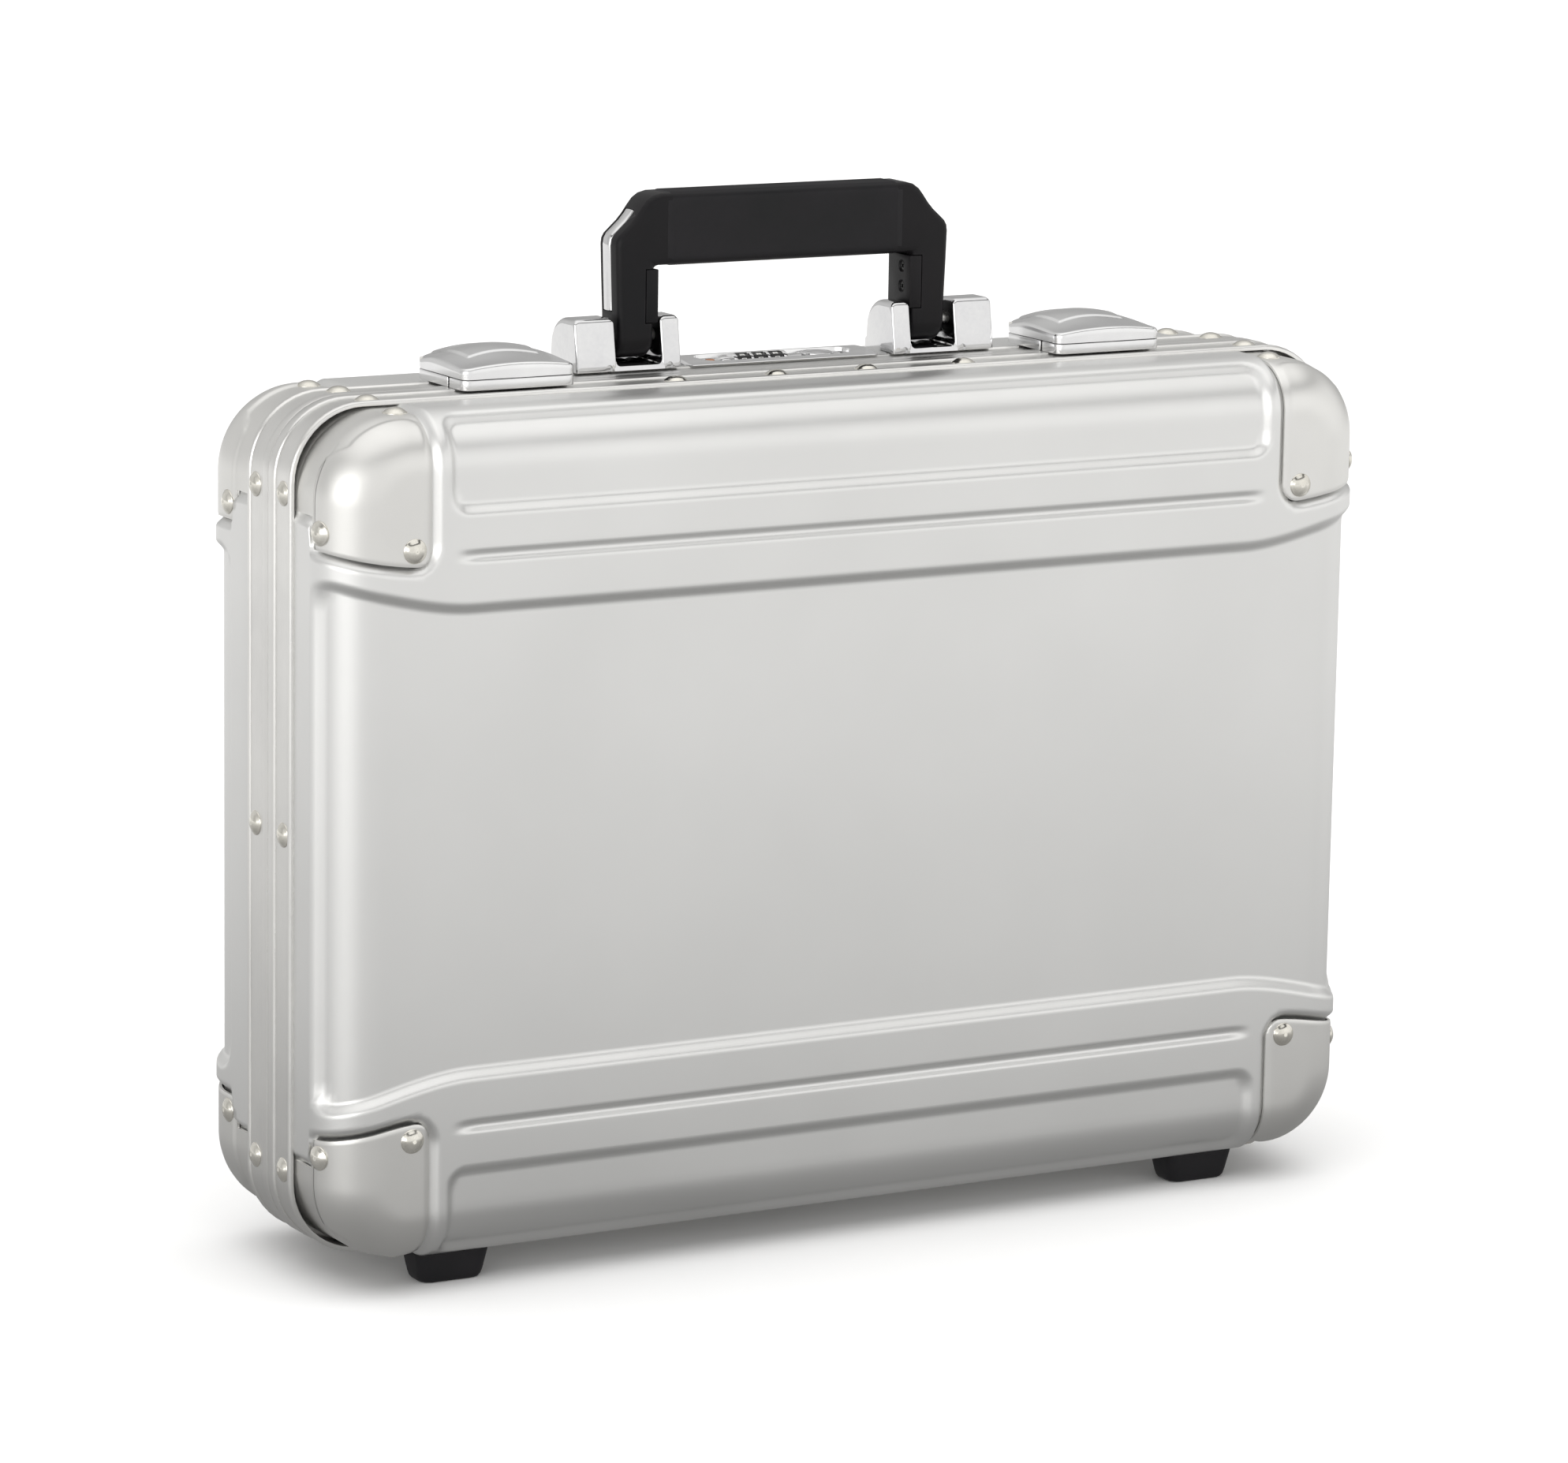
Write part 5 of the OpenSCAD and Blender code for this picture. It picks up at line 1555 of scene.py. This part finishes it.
def edge_wear(tree, coords, radius):
    """About 1 on exposed edges, broken up by noise, and 0 on faces."""
    bevel = tree.nodes.new("ShaderNodeBevel")
    bevel.samples = 4
    bevel.inputs["Radius"].default_value = radius
    geometry = tree.nodes.new("ShaderNodeNewGeometry")
    dot = tree.nodes.new("ShaderNodeVectorMath")
    dot.operation = "DOT_PRODUCT"
    tree.links.new(bevel.outputs[0], dot.inputs[0])
    tree.links.new(geometry.outputs["Normal"], dot.inputs[1])
    edge = ramp_between(tree, dot.outputs["Value"], 0.995, 0.9, 0.0, 1.0)
    broken = ramp_between(tree, noise(tree, coords, 180, 4), 0.42, 0.62, 0.0, 1.0)
    return math_node(tree, "MULTIPLY", edge, broken)


def metal(name, light, dark, roughness, grain=2600.0, grain_height=0.00002, stretch=(1, 1, 1),
          mottle=22.0, wear=0.0, rough_spread=0.06):
    """Metal with a surface grain, slow colour mottling, uneven polish and worn edges."""
    material, tree, shader, coords = blank_material(name)
    shader.inputs["Metallic"].default_value = 1.0
    slow = noise(tree, coords, mottle, 4)
    fine = noise(tree, coords, grain, 2, stretch)
    blend = math_node(tree, "ADD", math_node(tree, "MULTIPLY", slow, 0.75),
                      math_node(tree, "MULTIPLY", fine, 0.25))
    blend = ramp_between(tree, blend, 0.35, 0.65, 0.0, 1.0)
    colour = colour_between(tree, blend, dark, light)
    rough = ramp_between(tree, noise(tree, coords, mottle * 2.3, 5), 0.3, 0.7,
                         roughness - rough_spread, roughness + rough_spread)
    if wear:
        worn = math_node(tree, "MULTIPLY", edge_wear(tree, coords, 0.0012), wear)
        mix = tree.nodes.new("ShaderNodeMix")
        mix.data_type = "RGBA"
        mix.inputs[7].default_value = (*[min(1.0, c * 1.12) for c in light], 1)
        tree.links.new(worn, mix.inputs["Factor"])
        tree.links.new(colour, mix.inputs[6])
        colour = mix.outputs[2]
        rough = math_node(tree, "SUBTRACT", rough, math_node(tree, "MULTIPLY", worn, 0.12))
    tree.links.new(colour, shader.inputs["Base Color"])
    tree.links.new(rough, shader.inputs["Roughness"])
    add_bumps(tree, shader, [(fine, grain_height)])
    return material


def plastic(name, light, dark, roughness, grain=900.0, grain_height=0.00004, coat=0.0,
            shine=0.5):
    """Moulded plastic or rubber with a matt leather-like grain and rubbed edges."""
    material, tree, shader, coords = blank_material(name)
    fine = noise(tree, coords, grain, 3)
    slow = noise(tree, coords, 30, 4)
    colour = colour_between(tree, ramp_between(tree, slow, 0.35, 0.65, 0, 1), dark, light)
    worn = edge_wear(tree, coords, 0.001)
    mix = tree.nodes.new("ShaderNodeMix")
    mix.data_type = "RGBA"
    mix.inputs[7].default_value = (*[c * 1.8 + 0.01 for c in light], 1)
    tree.links.new(math_node(tree, "MULTIPLY", worn, 0.5), mix.inputs["Factor"])
    tree.links.new(colour, mix.inputs[6])
    tree.links.new(mix.outputs[2], shader.inputs["Base Color"])
    rough = ramp_between(tree, slow, 0.3, 0.7, roughness - 0.05, roughness + 0.07)
    tree.links.new(rough, shader.inputs["Roughness"])
    shader.inputs["Specular IOR Level"].default_value = shine
    shader.inputs["Coat Weight"].default_value = coat
    add_bumps(tree, shader, [(fine, grain_height)])
    return material


def fabric(name, light, dark, thread=0.0006):
    """Plain-woven lining cloth: crossing threads, flecks and a soft sheen."""
    material, tree, shader, coords = blank_material(name)
    split = tree.nodes.new("ShaderNodeSeparateXYZ")
    tree.links.new(coords, split.inputs[0])
    across = math_node(tree, "ADD", split.outputs["X"], math_node(tree, "MULTIPLY", split.outputs["Y"], 0.8))
    turns = 2 * math.pi / thread
    warp = math_node(tree, "SINE", math_node(tree, "MULTIPLY", across, turns), 0.0)
    weft = math_node(tree, "SINE", math_node(tree, "MULTIPLY", split.outputs["Z"], turns), 0.0)
    weave = math_node(tree, "MULTIPLY", warp, weft)
    fleck = noise(tree, coords, 900, 3, (1, 1, 0.25))
    cloud = noise(tree, coords, 14, 4)
    blend = math_node(tree, "ADD", math_node(tree, "MULTIPLY", fleck, 0.5),
                      math_node(tree, "MULTIPLY", cloud, 0.5))
    blend = math_node(tree, "ADD", blend, math_node(tree, "MULTIPLY", weave, 0.08))
    colour = colour_between(tree, ramp_between(tree, blend, 0.3, 0.7, 0, 1), dark, light)
    tree.links.new(colour, shader.inputs["Base Color"])
    shader.inputs["Roughness"].default_value = 0.86
    shader.inputs["Sheen Weight"].default_value = 0.35
    shader.inputs["Sheen Roughness"].default_value = 0.4
    add_bumps(tree, shader, [(weave, 0.00009), (fleck, 0.00006)])
    return material


def leather(name, light, dark):
    """Grained leather: pebbles with creases between them, and a slight shine."""
    material, tree, shader, coords = blank_material(name)
    cells = new_node(tree, "ShaderNodeTexVoronoi", Scale=620.0)
    cells.feature = "DISTANCE_TO_EDGE"
    tree.links.new(coords, cells.inputs["Vector"])
    pebble = ramp_between(tree, cells.outputs["Distance"], 0.0, 0.22, 0.0, 1.0)
    cloud = noise(tree, coords, 18, 4)
    colour = colour_between(tree, ramp_between(tree, cloud, 0.3, 0.7, 0, 1), dark, light)
    tree.links.new(colour, shader.inputs["Base Color"])
    rough = ramp_between(tree, pebble, 0.0, 1.0, 0.62, 0.44)
    tree.links.new(rough, shader.inputs["Roughness"])
    add_bumps(tree, shader, [(pebble, 0.00012), (noise(tree, coords, 60, 4), 0.0004)])
    return material


def make_materials():
    return {
        "shell_aluminium": metal("bead_blasted_aluminium", (0.80, 0.80, 0.79),
                                 (0.765, 0.765, 0.755), 0.40, grain=4200, grain_height=0.000012,
                                 mottle=9, rough_spread=0.02),
        "frame_aluminium": metal("brushed_frame_aluminium", (0.79, 0.785, 0.765),
                                 (0.72, 0.715, 0.70), 0.34, grain=2600, grain_height=0.000012,
                                 stretch=(0.12, 1, 0.12), mottle=16, wear=0.5),
        "cap_aluminium": metal("cap_aluminium", (0.79, 0.785, 0.765), (0.745, 0.74, 0.72), 0.39,
                               grain=3800, grain_height=0.000012, mottle=18, wear=0.5,
                               rough_spread=0.03),
        "rivet_nickel": metal("nickel_rivets", (0.80, 0.78, 0.72), (0.66, 0.64, 0.58), 0.16,
                              grain=1500, mottle=90),
        "zinc_steel": metal("zinc_plated_steel", (0.74, 0.73, 0.70), (0.58, 0.575, 0.56), 0.30,
                            mottle=60),
        "bright_chrome": metal("bright_chrome", (0.70, 0.70, 0.70), (0.63, 0.63, 0.64), 0.08,
                               grain=600, grain_height=0.000003, mottle=40, rough_spread=0.02),
        "latch_satin": metal("satin_chrome", (0.80, 0.80, 0.80), (0.74, 0.74, 0.745), 0.20,
                             grain=3000, grain_height=0.000006, mottle=40, rough_spread=0.03),
        "lock_zinc": metal("cast_zinc", (0.62, 0.62, 0.61), (0.50, 0.50, 0.49), 0.38, mottle=80),
        "reset_brass": metal("copper_reset", (0.80, 0.42, 0.24), (0.62, 0.30, 0.16), 0.25,
                             mottle=120),
        "black_rubber": plastic("black_rubber", (0.012, 0.011, 0.013), (0.007, 0.007, 0.008),
                                0.55, grain=1500, grain_height=0.00003, shine=0.25),
        "handle_plastic": plastic("handle_plastic", (0.007, 0.006, 0.007),
                                  (0.004, 0.004, 0.005), 0.42, grain=1300,
                                  grain_height=0.00003, shine=0.2),
        "screw_black": metal("blackened_screws", (0.05, 0.05, 0.05), (0.02, 0.02, 0.02), 0.35,
                             mottle=120),
        "dial_plastic": plastic("dial_plastic", (0.02, 0.02, 0.02), (0.01, 0.01, 0.01), 0.35,
                                grain=2000, grain_height=0.00001, coat=0.2),
        "dial_white": plastic("dial_white_paint", (0.86, 0.86, 0.84), (0.78, 0.78, 0.76), 0.5,
                              grain=2500, grain_height=0.00001),
        "lining_fabric": fabric("lining_cloth", (0.060, 0.060, 0.066), (0.030, 0.030, 0.034)),
        "organizer_leather": leather("organizer_leather", (0.035, 0.033, 0.032),
                                     (0.018, 0.017, 0.017)),
    }


# ---------------------------------------------------------------- floor, light and camera

CAMERA_AZIMUTH = -29.22
CAMERA_ELEVATION = 11.21
CAMERA_ROLL = 0.918
CAMERA_LENS = 149.7
CAMERA_DISTANCE = 2564.4
CAMERA_TARGET = (-7.23, 0.0, 19.17)
FLOOR_R = 60.0
BACKDROP_LIGHT = 1.0
ROOM_FRONT = [(-1.0, 0.60), (-0.1, 0.95), (0.1, 1.05), (0.5, 1.10), (0.60, 0.12), (0.67, 0.12),
              (0.71, 1.10), (0.87, 1.25), (1.0, 1.30)]
ROOM_BACK = [(-1.0, 0.10), (-0.3, 0.40), (0.05, 0.44), (0.4, 0.46), (0.8, 0.9), (1.0, 1.3)]
# Glow of the painted floor reflection by distance from the case, darkest beside it as painted shade.
PAINTED_FLOOR_REFLECTION = [(0.0, 0.30), (0.05, 0.42), (0.15, 0.60), (0.45, 0.86), (1.0, 1.10)]
STRIPS = [(-61.0, 0.84, 0.96, 1.9), (-150.0, 0.75, 0.95, 0.30), (33.0, 0.80, 0.97, 0.12)]


def floor_material():
    material, tree, shader, coords = blank_material("studio_floor")
    slow = noise(tree, coords, 3, 3)
    tree.links.new(colour_between(tree, slow, (0.90, 0.90, 0.90), (0.92, 0.92, 0.92)),
                   shader.inputs["Base Color"])
    shader.inputs["Roughness"].default_value = 0.8
    add_bumps(tree, shader, [(noise(tree, coords, 400, 3), 0.00003)])
    return material


def add_floor(material):
    """Large pale disc; it stays out of the metal's reflections, which the room and the painted floor
    reflection give.
    """
    rim = [(FLOOR_R * math.cos(a), FLOOR_R * math.sin(a), 0.0)
           for a in [2 * math.pi * i / 64 for i in range(64)]]
    floor = make_object("studio_floor", rim, [tuple(range(64))])
    if floor.data.polygons[0].normal.z < 0:
        floor.data.flip_normals()
    floor.data.materials.append(material)
    floor.visible_glossy = False
    return floor


def add_floor_reflection(floor):
    """Glowing card of painted floor reflection that only the metal sees: painted shade beside the case and
    brighter away from it.
    """
    size = 8.0
    corners = [(-size, -size, -0.001), (size, -size, -0.001), (size, size, -0.001),
               (-size, size, -0.001)]
    card = make_object("floor_reflection", corners, [(0, 1, 2, 3)])
    made = bpy.data.materials.new("floor_reflection")
    made.use_nodes = True
    tree = made.node_tree
    tree.nodes.clear()
    coords = tree.nodes.new("ShaderNodeTexCoord")
    split = tree.nodes.new("ShaderNodeSeparateXYZ")
    tree.links.new(coords.outputs["Object"], split.inputs[0])
    # Painted reflection: the glow grows with the distance from the case's sides, with painted shade close to
    # them.
    away = [math_node(tree, "SUBTRACT", math_node(tree, "ABSOLUTE", split.outputs[i], 0.0), half)
            for i, half in ((0, SHELL_X * MM), (1, DEPTH["base"] * MM))]
    metres = math_node(tree, "MAXIMUM", *away)
    light = stops_over(tree, math_node(tree, "MULTIPLY", metres, 0.5), PAINTED_FLOOR_REFLECTION)
    glow = new_node(tree, "ShaderNodeEmission", Color=(1.0, 0.995, 0.985, 1))
    tree.links.new(light, glow.inputs["Strength"])
    output = tree.nodes.new("ShaderNodeOutputMaterial")
    tree.links.new(glow.outputs[0], output.inputs["Surface"])
    card.data.materials.append(made)
    card.visible_camera = False
    card.visible_diffuse = False
    card.visible_transmission = False
    card.visible_shadow = False
    card.parent = floor


def lower_floor_under_lid(floor):
    """Keeps the floor at zero at rest and just under the lid's lowest point in any pose."""
    lid = frame["bodies"]["lid"]
    names = ("lid_cap_bottom_left", "lid_cap_top_left", "lid_feet")
    driver = floor.driver_add("location", 2).driver
    driver.type = "SCRIPTED"
    terms = []
    for name in names:
        low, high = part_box(name)
        for i, y in enumerate((low.y, high.y)):
            for k, z in enumerate((low.z, high.z)):
                probe = bpy.data.objects.new(f"probe_{name}_{i}{k}", None)
                bpy.context.scene.collection.objects.link(probe)
                probe.location = (low.x, y, z)
                probe.parent = lid
                variable = driver.variables.new()
                variable.name = f"p{len(terms)}"
                variable.type = "TRANSFORMS"
                variable.targets[0].id = probe
                variable.targets[0].transform_type = "LOC_Z"
                variable.targets[0].transform_space = "WORLD_SPACE"
                terms.append(variable.name)
    driver.expression = f"min(0.0, {', '.join(terms)})"


def add_camera():
    azimuth, elevation = math.radians(CAMERA_AZIMUTH), math.radians(CAMERA_ELEVATION)
    back = Vector((math.sin(azimuth) * math.cos(elevation),
                   -math.cos(azimuth) * math.cos(elevation), math.sin(elevation)))
    target = row(*CAMERA_TARGET)
    camera = bpy.data.objects.new("camera", bpy.data.cameras.new("camera"))
    bpy.context.scene.collection.objects.link(camera)
    camera.data.lens = CAMERA_LENS
    camera.data.sensor_width = 36.0
    camera.data.clip_end = 200.0
    camera.location = target + back * CAMERA_DISTANCE * MM
    look = (-back).to_track_quat("-Z", "Y").to_matrix().to_4x4()
    roll = Matrix.Rotation(math.radians(CAMERA_ROLL), 4, "Z")
    camera.rotation_euler = (look @ roll).to_euler()
    bpy.context.scene.camera = camera


def stops_over(tree, value, stops):
    """Brightness from a value between -1 and 1, straight between the (value, light) stops."""
    made = tree.nodes.new("ShaderNodeFloatCurve")
    top = max(light for _, light in stops)
    curve = made.mapping.curves[0]
    while len(curve.points) < len(stops):
        curve.points.new(0.5, 0.5)
    for point, (at, light) in zip(curve.points, stops):
        point.location = ((at + 1) / 2, light / top)
        point.handle_type = "VECTOR"
    made.mapping.update()
    tree.links.new(ramp_between(tree, value, -1.0, 1.0, 0.0, 1.0), made.inputs["Value"])
    return math_node(tree, "MULTIPLY", made.outputs[0], top)


def add_world():
    """Pale backdrop for the camera; a graded room for lighting and reflections."""
    world = bpy.data.worlds.new("studio")
    bpy.context.scene.world = world
    world.use_nodes = True
    tree = world.node_tree
    tree.nodes.clear()
    output = tree.nodes.new("ShaderNodeOutputWorld")
    coords = tree.nodes.new("ShaderNodeTexCoord")
    split = tree.nodes.new("ShaderNodeSeparateXYZ")
    tree.links.new(coords.outputs["Generated"], split.inputs[0])
    x, y, z = split.outputs
    front = stops_over(tree, z, ROOM_FRONT)
    back = stops_over(tree, z, ROOM_BACK)
    behind = ramp_between(tree, y, -0.1, 0.5, 0.0, 1.0)
    room = math_node(tree, "ADD", front, math_node(
        tree, "MULTIPLY", behind, math_node(tree, "SUBTRACT", back, front)))
    for azimuth, edge, full, light in STRIPS:
        angle = math.radians(azimuth)
        towards = math_node(tree, "ADD", math_node(tree, "MULTIPLY", x, math.sin(angle)),
                            math_node(tree, "MULTIPLY", y, -math.cos(angle)))
        strip = ramp_between(tree, towards, edge, full, 0.0, light)
        room = math_node(tree, "ADD", room, strip)
    path = tree.nodes.new("ShaderNodeLightPath")
    seen = path.outputs["Is Camera Ray"]
    level = math_node(tree, "ADD", room, math_node(
        tree, "MULTIPLY", seen, math_node(tree, "SUBTRACT", BACKDROP_LIGHT, room)))
    background = new_node(tree, "ShaderNodeBackground", Color=(1.0, 0.995, 0.985, 1))
    tree.links.new(level, background.inputs["Strength"])
    tree.links.new(background.outputs[0], output.inputs[0])


def add_lights():
    """A wide soft light from above; the metal does not mirror it."""
    light = bpy.data.lights.new("top", "SUN")
    light.energy = 1.3
    light.angle = math.radians(80)
    top = bpy.data.objects.new("top", light)
    bpy.context.scene.collection.objects.link(top)
    top.rotation_euler = (math.radians(8), math.radians(-8), 0)
    top.visible_glossy = False


# ---------------------------------------------------------------- putting it together

material = make_materials()


def dress_cad_nodes():
    """Every CAD node still shown gets the material of its record slot."""
    for part in frame["record"]["subparts"]:
        obj = frame["nodes"][part["node"]]
        obj.data.materials.clear()
        obj.data.materials.append(material[part["material_slot"]])


def place(obj, body, slot_name, *nodes):
    return finish_piece(obj, body, material[slot_name], nodes)


dress_cad_nodes()
for half in ("lid", "base"):
    shell = build_shell(half)
    if half == "base":
        cut(shell, lock_opening("lock_window", HALF_H - 12, 0.0))
    place(shell, half, "shell_aluminium", half + "_shell")
    for sx, side_name in ((-1, "left"), (1, "right")):
        for sz, end_name in ((1, "top"), (-1, "bottom")):
            cap = f"{half}_cap_{end_name}_{side_name}"
            place(build_cap(half, cap, sx, sz), half, "cap_aluminium", cap)
    place(build_frame(half), half, "frame_aluminium", half + "_frame")
    place(build_frame_rivets(half), half, "rivet_nickel", half + "_frame_rivets")
    place(build_cap_rivets(half), half, "rivet_nickel", half + "_cap_rivets")
    place(build_feet(half), half, "black_rubber", half + "_feet")

for sx, side_name in ((-1, "left"), (1, "right")):
    trim, bracket = "handle_trim_" + side_name, "handle_bracket_" + side_name
    place(build_trim(sx, trim + "_strip"), "handle", "bright_chrome", trim)
    place(build_bracket(sx, bracket), "base", "bright_chrome", bracket)
    latch, strike = "latch_base_" + side_name, "strike_" + side_name
    lever = "latch_lever_" + side_name
    place(build_latch_base(sx, latch), "base", "latch_satin", latch)
    place(build_strike(sx, strike), "lid", "latch_satin", strike)
    place(build_lever(sx, lever), "latch_" + side_name, "latch_satin", lever)
for half in ("lid", "base"):
    place(build_lining(half), half, "lining_fabric", half + "_lining")
place(build_organizer(), "lid", "organizer_leather", "lid_organizer")
place(build_organizer_trim(), "lid", "organizer_leather")
place(build_handle_body(), "handle", "handle_plastic", "handle_body")
place(build_grip(), "handle", "black_rubber", "handle_grip")
place(build_covers(), "handle", "handle_plastic", "handle_covers")
place(build_cover_screws(), "handle", "screw_black", "handle_cover_screws")
place(build_lock_plate(), "base", "latch_satin", "lock_plate")
place(build_lock_details(), "base", "latch_satin")
for i, dial_body in enumerate(("dial_left", "dial_middle", "dial_right")):
    dial = f"dial_{i + 1}"
    place(build_dial(i, dial), dial_body, "dial_plastic", dial)
    finish_piece(build_numerals(i, dial), dial_body, material["dial_white"])
place(build_knob(), "release_slide", "bright_chrome", "release_knob")
place(build_reset_button(), "reset_button", "reset_brass", "code_reset_button")

floor = add_floor(floor_material())
lower_floor_under_lid(floor)
add_floor_reflection(floor)
add_world()
add_lights()
add_camera()

bpy.context.scene.view_settings.view_transform = "Standard"
